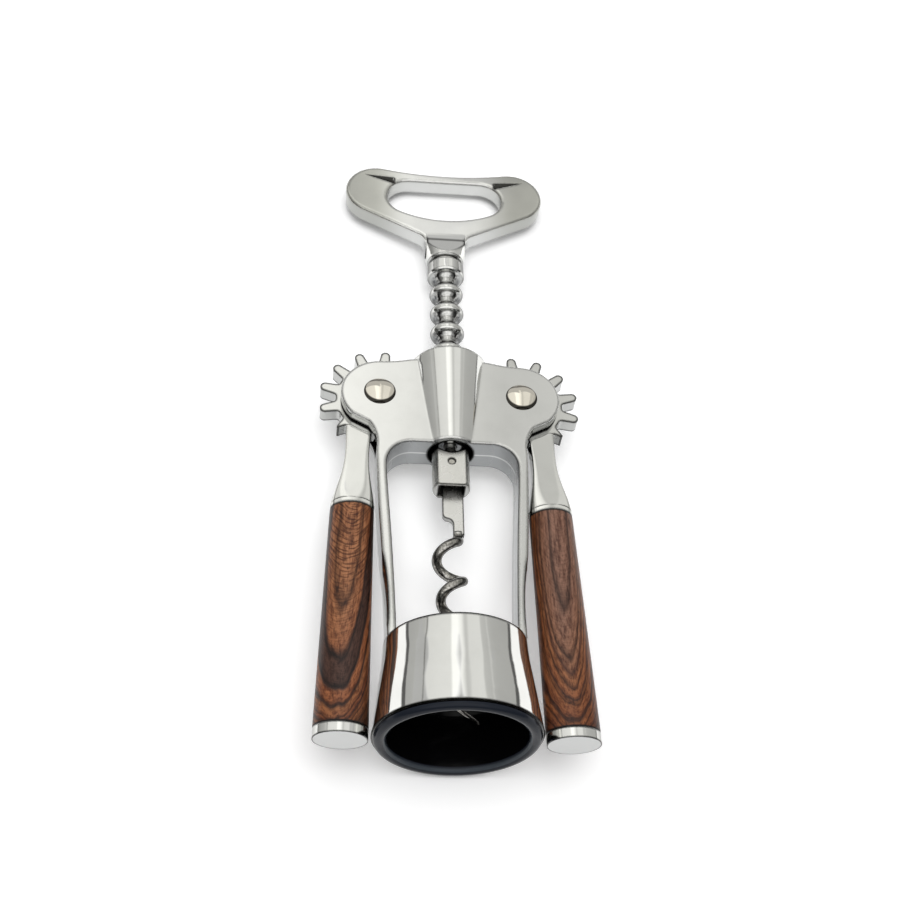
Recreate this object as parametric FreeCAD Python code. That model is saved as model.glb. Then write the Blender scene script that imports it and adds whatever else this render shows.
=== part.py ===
import FreeCAD, Part
import math
import os

# Wing corkscrew with a bottle opener handle.
#
# Everything is modelled in the tool's own frame, in millimetres: +Y runs along the spindle from the bell
# mouth (Y = 0) to the handle, +Z is the normal of the front cheek and X lies across the two pivots.
# lay_down() then puts each piece in the row frame: the tool on its back, resting on the bell rim and the
# back edge of the sleeve, +Z up, origin under the middle of the bounding box.

Vec = FreeCAD.Vector

# ---- driving dimensions -------------------------------------------------------------------------------
RING_PITCH = 7.4            # spacing of the rings on the rack sleeve
GEAR_TEETH = 13             # teeth that a full circle of the lever gear would hold
PITCH_RADIUS = GEAR_TEETH * RING_PITCH / (2 * math.pi)
PIVOT_X = 19.3              # pivots stand at +-PIVOT_X
PIVOT_Y = 98.0

CASTING_HALF_DEPTH = 5.58   # half thickness of the die-cast frame
CHEEK_INNER_Z = 2.7         # half width of the slot that the lever gears run in
GEAR_HALF_THICKNESS = 2.1
GEAR_ROOT_RADIUS = 11.7
GEAR_TIP_RADIUS = 16.4
TOOTH_TIP_ROUND = 1.3
TOOTH_ROOT_HALF_WIDTH = 1.8
TOOTH_ROOT_FILLET = 0.9
GEAR_CAVITY_RADIUS = 16.75

RING_RADIUS = 4.87          # outside of the rack rings
RING_LAND = 2.2             # width of each ring
RING_CROWN = 0.45           # how much each ring is rounded down at both sides
RACK_ROOT_RADIUS = 2.55     # bottom of the hollow grooves between the rings
RING_COUNT = 8
LOWEST_RING_Y = 86.8
RACK_TAIL_Y = 84.5
RACK_TAIL_RADIUS = 3.3
COLLAR_RADIUS = 5.4
COLLAR_TOP_Y = 149.4
COLLAR_BEVEL = 0.5

ROD_RADIUS = 1.6
ROD_CLEARANCE = 0.06
ROD_TOP_Y = 161.0

SLEEVE_BOTTOM_Y = 82.0
SLEEVE_TOP_Y = 111.4
SLEEVE_BOTTOM_RADIUS = 7.6
SLEEVE_TOP_RADIUS = 10.7
SLEEVE_EDGE = 0.6           # bevel round the sleeve's upper end
SLEEVE_BORE_RADIUS = 6.05
GUIDE_RADIUS = 4.97         # neck that guides the rings
GUIDE_START_Y = 107.6

BELL_TOP_Y = 24.2
BELL_TOP_RADIUS = 17.75
BELL_RIM_Y = 0.7
BELL_RIM_RADIUS = 20.45
BELL_WALL = 1.5
BELL_LIP_INNER_RADIUS = 14.2
BELL_LIP_Y = 22.0           # underside of the lip that stops the liner
LINER_GAP = 0.05            # assembly gap between bell and liner
BOTTLE_SEAT_Y = 19.4
BOTTLE_SEAT_RADIUS = 15.0   # takes a bottle finish of up to 29.5 mm
CORK_HOLE_RADIUS = 12.8
FLANGE_CREST_Y = -0.95      # how far the liner's flange stands out of the bell
LINER_MOUTH_RADIUS = 17.0

LOBE_X = 20.4               # centre and radius of the rounded lobe at each end of the handle
LOBE_Y = 178.1
LOBE_RADIUS = 9.55
WAIST_Y = 185.7             # lowest point of the hollow top edge between the lobes
FLANK_ANGLE = math.radians(28.2)    # slope of the straight flanks that run down to the neck
NECK_HALF_WIDTH = 5.9
NECK_CORNER = 5.0           # radius of the hollow where flank and neck meet
OPENING_HALF_WIDTH = 17.35
OPENING_TOP_Y = 182.75
OPENING_BOTTOM_Y = 166.8
OPENING_BELLY_RADIUS = 31.5
HEAD_EDGE_ROUND = 0.9
HEAD_HALF_DEPTH = 2.8
HEAD_SOCKET_Y = 150.5
HEAD_SOCKET_RADIUS = 5.4
HEAD_NECK_Y = 155.0         # where the flat plate ends inside the neck
OPENING_ROUND = 0.9
RAMP_TOP_Y = 160.7          # the neck's front and back rise out of the plate from here down to the socket
RAMP_FOOT_Y = HEAD_SOCKET_Y
RAMP_BEND_RADIUS = 10.0
RAMP_ANGLE = math.radians(19.5)
RAMP_HALF_WIDTH = 5.7
CONE_ANGLE = math.radians(18.2)     # flare of the socket's corners into the neck
SOCKET_EDGE = 0.4

RIVET_SHANK_RADIUS = 2.0
RIVET_CLEARANCE = 0.05
RIVET_HEAD_RADIUS = 4.3
RIVET_HEAD_HEIGHT = 1.7

CARRIER_RADIUS = 5.0
CARRIER_FLAT_Z = 3.4
CARRIER_BOTTOM_Y = 70.05
CARRIER_TOP_Y = 81.7
CARRIER_PIN_Y = 77.5
CARRIER_PIN_RADIUS = 0.95
PIN_SINK = 0.35
SLOT_TOP_Y = 78.7
SLOT_HALF_WIDTH = 3.4
SLOT_HALF_DEPTH = 2.5

WORM_WIRE_RADIUS = 1.3
WORM_COIL_RADIUS = 3.1      # to the middle of the wire
WORM_PITCH = 11.7
WORM_TURNS = 4.0
WORM_POINT_DRAW = 3.2       # the last turn is drawn out by this much
WORM_COIL_TOP_Y = 55.4
WORM_AXIS_LEAN = 0.0714     # the worm hangs loose on its pin and leans this much across
WORM_AXIS_CENTRED_Y = 36.0  # where the leaning worm axis crosses the tool's middle plane
WORM_Z = -1.45              # it also lies against the back wall of the carrier slot
SHANK_HALF_THICKNESS = 0.85
SHANK_FOOT_Y = 57.1
STEM_LENGTH = 1.3

LEVER_LEAN = 0.0253         # lean of each closed lever, outwards from the spindle direction
LEVER_AXIS_X = 5.75         # grip axis beside the pivot
FERRULE_END = 35.7          # distances from the pivot down the lever
GRIP_END = 96.2
CAP_END = 98.9
GRIP_TOP_HALF = (5.7, 5.0)  # half width and half depth of the oval grip
GRIP_END_HALF = (6.6, 5.2)
SEAM = 0.12                 # visible seam at each end of the wood
TIE_ROD_RADIUS = 2.0

# Gear phase: the tooth that stands in the rack at rest, a little on the handle side of its groove.
MESH_OFFSET = 0.25
MESH_GROOVE_Y = LOWEST_RING_Y + 1.5 * RING_PITCH
MESH_ANGLE = math.asin((MESH_GROOVE_Y + MESH_OFFSET - PIVOT_Y) / PITCH_RADIUS)
TOOTH_STEP = 2 * math.pi / GEAR_TEETH
FULL_TEETH = 8              # from the one in mesh round to the last before the shank
TOOTH_FOOT_SINK = 1.2       # how far each tooth is rooted inside the gear disc
STUB_TIP_RADIUS = 15.0      # the short pointed tooth next to the shank

# Rest on the back: the bell rim and the back edge of the sleeve touch the ground.
REST_TILT = math.atan((BELL_RIM_RADIUS - SLEEVE_TOP_RADIUS) / (SLEEVE_TOP_Y - SLEEVE_EDGE - BELL_RIM_Y))
REST_HEIGHT = BELL_RIM_RADIUS * math.cos(REST_TILT) + BELL_RIM_Y * math.sin(REST_TILT)
ROW_ORIGIN_Y = 92.23        # laid-down Y that becomes the origin of the row frame


# ---- small helpers ------------------------------------------------------------------------------------
def flat(x, y):
    return Vec(x, y, 0)


def line(start, end):
    return Part.LineSegment(flat(*start), flat(*end)).toShape()


def arc(start, through, end):
    return Part.Arc(flat(*start), flat(*through), flat(*end)).toShape()


def spline(points, start_tangent, end_tangent):
    curve = Part.BSplineCurve()
    places = [flat(*p) for p in points]
    curve.interpolate(Points=places, InitialTangent=flat(*start_tangent), FinalTangent=flat(*end_tangent))
    return curve.toShape()


def face_of(edges):
    return Part.Face(Part.Wire(Part.__sortEdges__(edges)))


def plate(face, half_depth):
    """The flat profile as a solid that reaches half_depth to each side of Z = 0."""
    solid = face.extrude(Vec(0, 0, 2 * half_depth))
    solid.translate(Vec(0, 0, -half_depth))
    return solid


def turned(edges):
    """A profile of (radius, Y) edges turned about the spindle axis."""
    return face_of(edges).revolve(Vec(0, 0, 0), Vec(0, 1, 0), 360)


def rod(radius, start, end):
    """A cylinder from one point to another."""
    return Part.makeCylinder(radius, (end - start).Length, start, end - start)


def mirrored(shape):
    return shape.mirror(Vec(0, 0, 0), Vec(1, 0, 0))


def face_edges(solid, z):
    """Edges of the solid that lie wholly in the plane at this Z."""
    box_of = [edge.BoundBox for edge in solid.Edges]
    return [edge for edge, box in zip(solid.Edges, box_of)
            if abs(box.ZMin - z) < 0.01 and abs(box.ZMax - z) < 0.01]


def rounded_section(centre_x, y, half_width, half_depth, corner):
    """A rounded rectangle in the plane at this Y, as the section of a loft."""
    corner = min(corner, 0.985 * half_width, 0.985 * half_depth)
    edges = []
    turn = math.sqrt(0.5)
    inner_x = half_width - corner
    inner_z = half_depth - corner
    corners = [(1, 1), (-1, 1), (-1, -1), (1, -1)]
    ends = []
    for sx, sz in corners:
        middle = Vec(centre_x + sx * (inner_x + turn * corner), y, sz * (inner_z + turn * corner))
        side = Vec(centre_x + sx * half_width, y, sz * inner_z)
        cap = Vec(centre_x + sx * inner_x, y, sz * half_depth)
        first, last = (side, cap) if sx * sz > 0 else (cap, side)
        ends.append((first, middle, last))
    for index, (first, middle, last) in enumerate(ends):
        edges.append(Part.Arc(first, middle, last).toShape())
        edges.append(Part.LineSegment(last, ends[(index + 1) % 4][0]).toShape())
    return Part.Wire(edges)


def oval_section(centre_x, y, half_width, half_depth):
    centre = Vec(centre_x, y, 0)
    ellipse = Part.Ellipse(centre + Vec(half_width, 0, 0), centre + Vec(0, 0, half_depth), centre)
    return Part.Wire([ellipse.toShape()])


def oval_bar(centre_x, start_y, end_y, start_half, end_half):
    sections = [oval_section(centre_x, start_y, *start_half), oval_section(centre_x, end_y, *end_half)]
    return Part.makeLoft(sections, True, True)


# ---- frame casting ------------------------------------------------------------------------------------
def yoke_half():
    """Right half of cheeks, arch and leg as one flat profile with rounded edges."""
    foot_outer = (16.95, BELL_TOP_Y - 0.6)
    foot_inner = (14.7, BELL_TOP_Y - 0.6)
    leg_outer = (20.05, 79.5)
    knee = (22.2, 88.1)
    ear_low = (26.7, 90.6)
    ear_high = (19.6, 108.65)
    shoulder = (9.5, 110.0)
    arch_foot = (17.35, 74.6)
    arch_top = (10.4, SLEEVE_BOTTOM_Y)
    edges = [
        line((0, SLEEVE_BOTTOM_Y), arch_top),
        arc(arch_top, (15.4, 79.85), arch_foot),
        spline([arch_foot, (16.5, 60.5), foot_inner], (-0.03, -1), (-0.03, -1)),
        line(foot_inner, foot_outer),
        spline([foot_outer, (18.35, 46.0), leg_outer], (0.06, 1), (0.01, 1)),
        arc(leg_outer, (20.55, 85.0), knee),
        line(knee, ear_low),
        arc(ear_low, (29.75, 98.4), ear_high),
        spline([ear_high, (13.9, 109.2), shoulder], (-1, 0.05), (-1, 0.1)),
        line(shoulder, (0, shoulder[1])),
        line((0, shoulder[1]), (0, SLEEVE_BOTTOM_Y)),
    ]
    solid = plate(face_of(edges), CASTING_HALF_DEPTH)
    rims = [edge for side in (-CASTING_HALF_DEPTH, CASTING_HALF_DEPTH) for edge in face_edges(solid, side)
            if edge.BoundBox.XMax > 0.1 and edge.BoundBox.YMax > BELL_TOP_Y]
    return solid.makeFillet(0.6, rims)


def bell_wall(inset, bottom_y, top_y):
    """The bell's cone moved inwards by the inset: it flares a little at the rim and steepens at the shoulder."""
    cone = [(20.1, 3.0), (19.55, 7.5), (18.72, 14.0), (18.07, 19.2)]
    flare = [(BELL_RIM_RADIUS, bottom_y)] + cone + [(BELL_TOP_RADIUS, top_y)]
    wall = [(radius - inset, y) for radius, y in flare]
    return spline(wall, (-0.2, 1), (-0.04, 1)), wall[0], wall[-1]


def bell_shell():
    """Open bell with a lip turned in at the top."""
    outer, rim_outer, top_outer = bell_wall(0, BELL_RIM_Y, BELL_TOP_Y)
    inner, rim_inner, lip_corner = bell_wall(BELL_WALL, BELL_RIM_Y, BELL_LIP_Y)
    lip_edge = (BELL_LIP_INNER_RADIUS, BELL_LIP_Y)
    lip_top = (BELL_LIP_INNER_RADIUS, BELL_TOP_Y)
    edges = [
        outer,
        inner,
        line(rim_outer, rim_inner),
        line(lip_corner, lip_edge),
        line(lip_edge, lip_top),
        line(lip_top, top_outer),
    ]
    return turned(edges)


def leg_envelope():
    """Turned body that the feet of the legs are trimmed to, so that they run into the bell."""
    foot = (BELL_TOP_RADIUS, BELL_TOP_Y + 2.0)
    widest = (24.0, 66.0)
    corners = [(0, BELL_TOP_Y - 1.0), (BELL_TOP_RADIUS, BELL_TOP_Y - 1.0), foot]
    above = [widest, (36.0, 70.0), (36.0, 120.0), (0, 120.0), corners[0]]
    edges = [line(a, b) for a, b in zip(corners, corners[1:])]
    edges.append(arc(foot, (18.4, 43.0), widest))
    edges += [line(a, b) for a, b in zip(above, above[1:])]
    return turned(edges)


def sleeve_cone():
    """The tapered sleeve that houses the rack, bevelled at both ends and still without its bore."""
    corners = [
        (0, SLEEVE_BOTTOM_Y),
        (SLEEVE_BOTTOM_RADIUS - 0.4, SLEEVE_BOTTOM_Y),
        (SLEEVE_BOTTOM_RADIUS, SLEEVE_BOTTOM_Y + 0.5),
        (SLEEVE_TOP_RADIUS, SLEEVE_TOP_Y - SLEEVE_EDGE),
        (SLEEVE_TOP_RADIUS - SLEEVE_EDGE, SLEEVE_TOP_Y),
        (0, SLEEVE_TOP_Y),
    ]
    return turned([line(a, b) for a, b in zip(corners, corners[1:] + corners[:1])])


def frame_casting():
    """Cheeks, arch, sleeve, legs and bell as one die casting, slotted and bored."""
    right = yoke_half()
    body = right.fuse(mirrored(right)).common(leg_envelope())
    body = body.fuse([sleeve_cone(), bell_shell()])
    bore = rod(SLEEVE_BORE_RADIUS, Vec(0, SLEEVE_BOTTOM_Y - 1, 0), Vec(0, GUIDE_START_Y, 0))
    guide = rod(GUIDE_RADIUS, Vec(0, GUIDE_START_Y - 1, 0), Vec(0, SLEEVE_TOP_Y + 1, 0))
    cutters = [bore, guide]
    for side in (-1, 1):
        pivot = Vec(side * PIVOT_X, PIVOT_Y, 0)
        cavity = Vec(0, 0, CHEEK_INNER_Z)
        cutters.append(rod(GEAR_CAVITY_RADIUS, pivot - cavity, pivot + cavity))
        through = Vec(0, 0, CASTING_HALF_DEPTH + 1)
        cutters.append(rod(RIVET_SHANK_RADIUS, pivot - through, pivot + through))
    return body.cut(cutters).removeSplitter()


def bell_liner():
    """Plastic liner: a rounded flange over the rim, a tapered throat and a shoulder for the bottle."""
    flange_y = BELL_RIM_Y - LINER_GAP
    outer, flange_root, top_corner = bell_wall(BELL_WALL + LINER_GAP, flange_y, BELL_LIP_Y - LINER_GAP)
    flange_back = (BELL_RIM_RADIUS - 0.55, flange_y)
    flange_crest = (18.8, FLANGE_CREST_Y)
    mouth = (LINER_MOUTH_RADIUS, FLANGE_CREST_Y + 0.75)
    throat = (BOTTLE_SEAT_RADIUS, 13.0)
    seat = (BOTTLE_SEAT_RADIUS, BOTTLE_SEAT_Y)
    hole = (CORK_HOLE_RADIUS, BOTTLE_SEAT_Y)
    hole_top = (CORK_HOLE_RADIUS, top_corner[1])
    edges = [
        outer,
        line(flange_root, flange_back),
        arc(flange_back, (19.7, FLANGE_CREST_Y + 0.55), flange_crest),
        arc(flange_crest, (17.7, FLANGE_CREST_Y + 0.12), mouth),
        arc(mouth, (15.65, 6.5), throat),
        line(throat, seat),
        line(seat, hole),
        line(hole, hole_top),
        line(hole_top, top_corner),
    ]
    return turned(edges)


def pivot_rivet(side):
    """Domed rivet through both cheeks, with its formed head at the back."""
    slab_height = 2 * RIVET_HEAD_HEIGHT
    pivot = Vec(side * PIVOT_X, PIVOT_Y, 0)
    depth = Vec(0, 0, CASTING_HALF_DEPTH)
    shank = rod(RIVET_SHANK_RADIUS, pivot - depth, pivot + depth)
    ball_radius = (RIVET_HEAD_RADIUS ** 2 + RIVET_HEAD_HEIGHT ** 2) / (2 * RIVET_HEAD_HEIGHT)
    heads = []
    for way in (-1, 1):
        ball_centre = pivot + Vec(0, 0, way * (CASTING_HALF_DEPTH + RIVET_HEAD_HEIGHT - ball_radius))
        ball = Part.makeSphere(ball_radius, ball_centre)
        slab = rod(RIVET_HEAD_RADIUS + 1, pivot + way * depth, pivot + way * (depth + Vec(0, 0, slab_height)))
        heads.append(ball.common(slab))
    return shank.fuse(heads)


# ---- rack and spindle ---------------------------------------------------------------------------------
def rack_sleeve():
    """Ringed sleeve: circular teeth with hollow grooves, so that the spindle may turn in it."""
    half_land = RING_LAND / 2
    bore = ROD_RADIUS + ROD_CLEARANCE
    shoulder = RING_RADIUS - RING_CROWN
    edges = [
        line((bore, RACK_TAIL_Y), (RACK_TAIL_RADIUS, RACK_TAIL_Y)),
        line((RACK_TAIL_RADIUS, RACK_TAIL_Y), (RACK_TAIL_RADIUS, LOWEST_RING_Y - half_land)),
        line((RACK_TAIL_RADIUS, LOWEST_RING_Y - half_land), (shoulder, LOWEST_RING_Y - half_land)),
    ]
    for ring in range(RING_COUNT):
        middle = LOWEST_RING_Y + ring * RING_PITCH
        low, high, next_low = middle - half_land, middle + half_land, middle + RING_PITCH - half_land
        edges.append(arc((shoulder, low), (RING_RADIUS, middle), (shoulder, high)))
        edges.append(arc((shoulder, high), (RACK_ROOT_RADIUS, (high + next_low) / 2), (shoulder, next_low)))
    collar_bottom = LOWEST_RING_Y + RING_COUNT * RING_PITCH - half_land
    collar_edge = COLLAR_RADIUS - COLLAR_BEVEL
    edges += [
        line((shoulder, collar_bottom), (collar_edge, collar_bottom)),
        line((collar_edge, collar_bottom), (COLLAR_RADIUS, collar_bottom + COLLAR_BEVEL)),
        line((COLLAR_RADIUS, collar_bottom + COLLAR_BEVEL), (COLLAR_RADIUS, COLLAR_TOP_Y - COLLAR_BEVEL)),
        line((COLLAR_RADIUS, COLLAR_TOP_Y - COLLAR_BEVEL), (collar_edge, COLLAR_TOP_Y)),
        line((collar_edge, COLLAR_TOP_Y), (bore, COLLAR_TOP_Y)),
        line((bore, COLLAR_TOP_Y), (bore, RACK_TAIL_Y)),
    ]
    return turned(edges)


def spindle_rod():
    """Steel rod from the worm carrier through the ringed sleeve up into the handle."""
    return rod(ROD_RADIUS, Vec(0, SLOT_TOP_Y, 0), Vec(0, ROD_TOP_Y, 0))


def thrust_washer():
    """Thin washer between the ringed sleeve and the handle socket."""
    low = Vec(0, COLLAR_TOP_Y + 0.1, 0)
    high = Vec(0, HEAD_SOCKET_Y, 0)
    return rod(4.5, low, high).cut(rod(ROD_RADIUS, low, high))


def handle_outline():
    """Half outline of the handle plate from the top down to the neck: hollow, lobe, flank and corner."""
    rise = WAIST_Y - LOBE_Y
    hollow_radius = (LOBE_X ** 2 + rise ** 2 - LOBE_RADIUS ** 2) / (2 * (LOBE_RADIUS - rise))
    hollow_y = WAIST_Y + hollow_radius
    hollow_turn = math.asin(LOBE_X / (hollow_radius + LOBE_RADIUS))
    waist = (0, WAIST_Y)
    half_way = (hollow_radius * math.sin(hollow_turn / 2), hollow_y - hollow_radius * math.cos(hollow_turn / 2))
    lobe_top = (LOBE_X - LOBE_RADIUS * math.sin(hollow_turn), LOBE_Y + LOBE_RADIUS * math.cos(hollow_turn))
    lobe_side = (LOBE_X + LOBE_RADIUS, LOBE_Y)
    flank_top = (LOBE_X + LOBE_RADIUS * math.sin(FLANK_ANGLE), LOBE_Y - LOBE_RADIUS * math.cos(FLANK_ANGLE))
    corner_y = flank_top[1] - (flank_top[0] - NECK_HALF_WIDTH) * math.tan(FLANK_ANGLE)
    corner_turn = math.pi / 2 - FLANK_ANGLE
    run = NECK_CORNER * math.tan(corner_turn / 2)
    flank_end = (NECK_HALF_WIDTH + run * math.cos(FLANK_ANGLE), corner_y + run * math.sin(FLANK_ANGLE))
    neck_start = (NECK_HALF_WIDTH, corner_y - run)
    centre = (NECK_HALF_WIDTH + NECK_CORNER, neck_start[1])
    corner_middle = (centre[0] - NECK_CORNER * math.cos(corner_turn / 2),
                     centre[1] + NECK_CORNER * math.sin(corner_turn / 2))
    neck_end = (NECK_HALF_WIDTH, HEAD_NECK_Y)
    return [
        arc(waist, half_way, lobe_top),
        arc(lobe_top, lobe_side, flank_top),
        line(flank_top, flank_end),
        arc(flank_end, corner_middle, neck_start),
        line(neck_start, neck_end),
        line(neck_end, (0, HEAD_NECK_Y)),
    ]


def handle_opening():
    """Half of the finger and crown-cap opening: a straight lip above, rounded sides, a wide belly below."""
    belly_y = OPENING_BOTTOM_Y + OPENING_BELLY_RADIUS
    drop = belly_y - OPENING_TOP_Y
    # The side arc touches the lip and the belly arc and reaches out to the half width.
    half_sum = OPENING_HALF_WIDTH - drop - OPENING_BELLY_RADIUS
    rest = OPENING_HALF_WIDTH ** 2 + drop ** 2 - OPENING_BELLY_RADIUS ** 2
    side_radius = half_sum + math.sqrt(half_sum ** 2 - rest)
    side = (OPENING_HALF_WIDTH - side_radius, OPENING_TOP_Y - side_radius)
    turn = math.atan2(side[0], belly_y - side[1])
    belly_middle = (OPENING_BELLY_RADIUS * math.sin(turn / 2), belly_y - OPENING_BELLY_RADIUS * math.cos(turn / 2))
    belly_end = (OPENING_BELLY_RADIUS * math.sin(turn), belly_y - OPENING_BELLY_RADIUS * math.cos(turn))
    return [
        line((0, OPENING_TOP_Y), (side[0], OPENING_TOP_Y)),
        arc((side[0], OPENING_TOP_Y), (OPENING_HALF_WIDTH, side[1]), belly_end),
        arc(belly_end, belly_middle, (0, OPENING_BOTTOM_Y)),
    ]


def whole(half_edges):
    """A symmetric outline from its right half."""
    return half_edges + [mirrored(edge) for edge in half_edges]


def lip_dimple(side):
    """Tapered groove beside the opener lip, sunk in the front face."""
    start = Vec(side * 15.6, 182.3, HEAD_HALF_DEPTH + 0.35)
    end = Vec(side * 24.2, 184.3, HEAD_HALF_DEPTH + 0.1)
    return Part.makeCone(1.25, 0.15, (end - start).Length, start, end - start)


def handle_plate():
    """The flat of the handle with rounded rims and the opener's mouth."""
    body = plate(face_of(whole(handle_outline())), HEAD_HALF_DEPTH).removeSplitter()
    rims = [edge for side in (-HEAD_HALF_DEPTH, HEAD_HALF_DEPTH) for edge in face_edges(body, side)
            if edge.BoundBox.YMax > HEAD_NECK_Y + 0.01]
    body = body.makeFillet(HEAD_EDGE_ROUND, rims)
    body = body.cut(plate(face_of(whole(handle_opening())), HEAD_HALF_DEPTH + 1)).removeSplitter()
    mouth = [edge for side in (-HEAD_HALF_DEPTH, HEAD_HALF_DEPTH) for edge in face_edges(body, side)
             if edge.BoundBox.YMin > OPENING_BOTTOM_Y - 0.1 and edge.BoundBox.YMax < OPENING_TOP_Y + 0.1
             and edge.BoundBox.XMax < OPENING_HALF_WIDTH + 0.1 and edge.BoundBox.XMin > -OPENING_HALF_WIDTH - 0.1]
    return body.makeFillet(OPENING_ROUND, mouth)


def neck_ramp():
    """Block whose front and back rise out of the plate in a hollow and run straight to the socket."""
    bend_y = RAMP_TOP_Y - RAMP_BEND_RADIUS * math.sin(RAMP_ANGLE)
    bend_z = HEAD_HALF_DEPTH + RAMP_BEND_RADIUS * (1 - math.cos(RAMP_ANGLE))
    middle_y = RAMP_TOP_Y - RAMP_BEND_RADIUS * math.sin(RAMP_ANGLE / 2)
    middle_z = HEAD_HALF_DEPTH + RAMP_BEND_RADIUS * (1 - math.cos(RAMP_ANGLE / 2))
    foot_z = bend_z + (bend_y - RAMP_FOOT_Y) * math.tan(RAMP_ANGLE)
    root_y = RAMP_TOP_Y + 1.0
    corners = [(root_y, HEAD_HALF_DEPTH), (RAMP_TOP_Y, HEAD_HALF_DEPTH), (middle_y, middle_z), (bend_y, bend_z),
               (RAMP_FOOT_Y, foot_z)]
    front = [Vec(-RAMP_HALF_WIDTH, y, z) for y, z in corners]
    back = [Vec(-RAMP_HALF_WIDTH, y, -z) for y, z in corners]
    edges = [Part.LineSegment(front[4], back[4]).toShape(), Part.LineSegment(front[0], back[0]).toShape()]
    for side in (front, back):
        edges.append(Part.LineSegment(side[0], side[1]).toShape())
        edges.append(Part.Arc(side[1], side[2], side[3]).toShape())
        edges.append(Part.LineSegment(side[3], side[4]).toShape())
    return face_of(edges).extrude(Vec(2 * RAMP_HALF_WIDTH, 0, 0))


def neck_envelope():
    """Turned body that rounds the neck's corners down to the socket."""
    flare_y = RAMP_FOOT_Y + 1.0
    top_y = RAMP_TOP_Y + 2.0
    top_radius = HEAD_SOCKET_RADIUS + (top_y - flare_y) * math.tan(CONE_ANGLE)
    corners = [(0, HEAD_SOCKET_Y), (HEAD_SOCKET_RADIUS - SOCKET_EDGE, HEAD_SOCKET_Y),
               (HEAD_SOCKET_RADIUS, HEAD_SOCKET_Y + SOCKET_EDGE), (HEAD_SOCKET_RADIUS, flare_y),
               (top_radius, top_y), (0, top_y)]
    return turned([line(a, b) for a, b in zip(corners, corners[1:] + corners[:1])])


def handle_head():
    """Die-cast handle with the opener mouth, run through a ramped neck into a round socket."""
    neck = neck_ramp().common(neck_envelope())
    body = handle_plate().fuse(neck)
    rod_hole = rod(ROD_RADIUS, Vec(0, HEAD_SOCKET_Y - 1, 0), Vec(0, ROD_TOP_Y, 0))
    return body.cut([rod_hole, lip_dimple(-1), lip_dimple(1)])


def worm_carrier():
    """Boss at the lower end of the rod, with flats, a dished top and the slot for the worm shank."""
    body = rod(CARRIER_RADIUS, Vec(0, CARRIER_BOTTOM_Y, 0), Vec(0, CARRIER_TOP_Y, 0))
    low_rim = [edge for edge in body.Edges if edge.BoundBox.YMax < CARRIER_BOTTOM_Y + 0.01]
    body = body.makeFillet(0.6, low_rim)
    span = 2 * CARRIER_RADIUS + 2
    body = body.common(Part.makeBox(span, 20, 2 * CARRIER_FLAT_Z,
                                    Vec(-span / 2, CARRIER_BOTTOM_Y - 1, -CARRIER_FLAT_Z)))
    dish = Part.makeCone(2.4, 5.3, CARRIER_TOP_Y - 79.8 + 0.3, Vec(0, 79.8, 0), Vec(0, 1, 0))
    slot = Part.makeBox(2 * SLOT_HALF_WIDTH, SLOT_TOP_Y - CARRIER_BOTTOM_Y + 1, 2 * SLOT_HALF_DEPTH,
                        Vec(-SLOT_HALF_WIDTH, CARRIER_BOTTOM_Y - 1, -SLOT_HALF_DEPTH))
    rod_hole = rod(ROD_RADIUS, Vec(0, SLOT_TOP_Y - 1, 0), Vec(0, CARRIER_TOP_Y + 1, 0))
    reach = Vec(0, 0, CARRIER_FLAT_Z + 1)
    pin_at = Vec(0, CARRIER_PIN_Y, 0)
    pin_hole = rod(CARRIER_PIN_RADIUS, pin_at - reach, pin_at + reach)
    return body.cut([dish, slot, rod_hole, pin_hole])


def carrier_pin():
    """Cross pin that the worm hangs on, a little sunk at both ends."""
    half = Vec(0, 0, CARRIER_FLAT_Z - PIN_SINK)
    pin_at = Vec(0, CARRIER_PIN_Y, 0)
    return rod(CARRIER_PIN_RADIUS, pin_at - half, pin_at + half)


def worm_axis_x(y):
    return WORM_AXIS_LEAN * (WORM_AXIS_CENTRED_Y - y)


def worm_point(turn):
    """Middle of the wire after this many turns: right-handed, from the shank down to the tip."""
    blend = 0.22
    if turn < blend:
        wound = turn * turn / (2 * blend)
    else:
        wound = turn - blend / 2
    y = WORM_COIL_TOP_Y - WORM_PITCH * (turn - blend / 2) - WORM_POINT_DRAW * max(0.0, turn - 3.0) ** 2
    angle = 2 * math.pi * wound
    return Vec(worm_axis_x(y) + WORM_COIL_RADIUS * math.cos(angle), y, WORM_Z + WORM_COIL_RADIUS * math.sin(angle))


def worm_section(turn, radius):
    step = 0.004
    tangent = worm_point(turn + step) - worm_point(turn - step)
    return Part.Wire([Part.Circle(worm_point(turn), tangent, radius).toShape()])


def worm_spine(start, end):
    steps = int(round((end - start) * 16))
    curve = Part.BSplineCurve()
    curve.interpolate([worm_point(start + (end - start) * i / steps) for i in range(steps + 1)])
    return Part.Wire([curve.toShape()])


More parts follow.
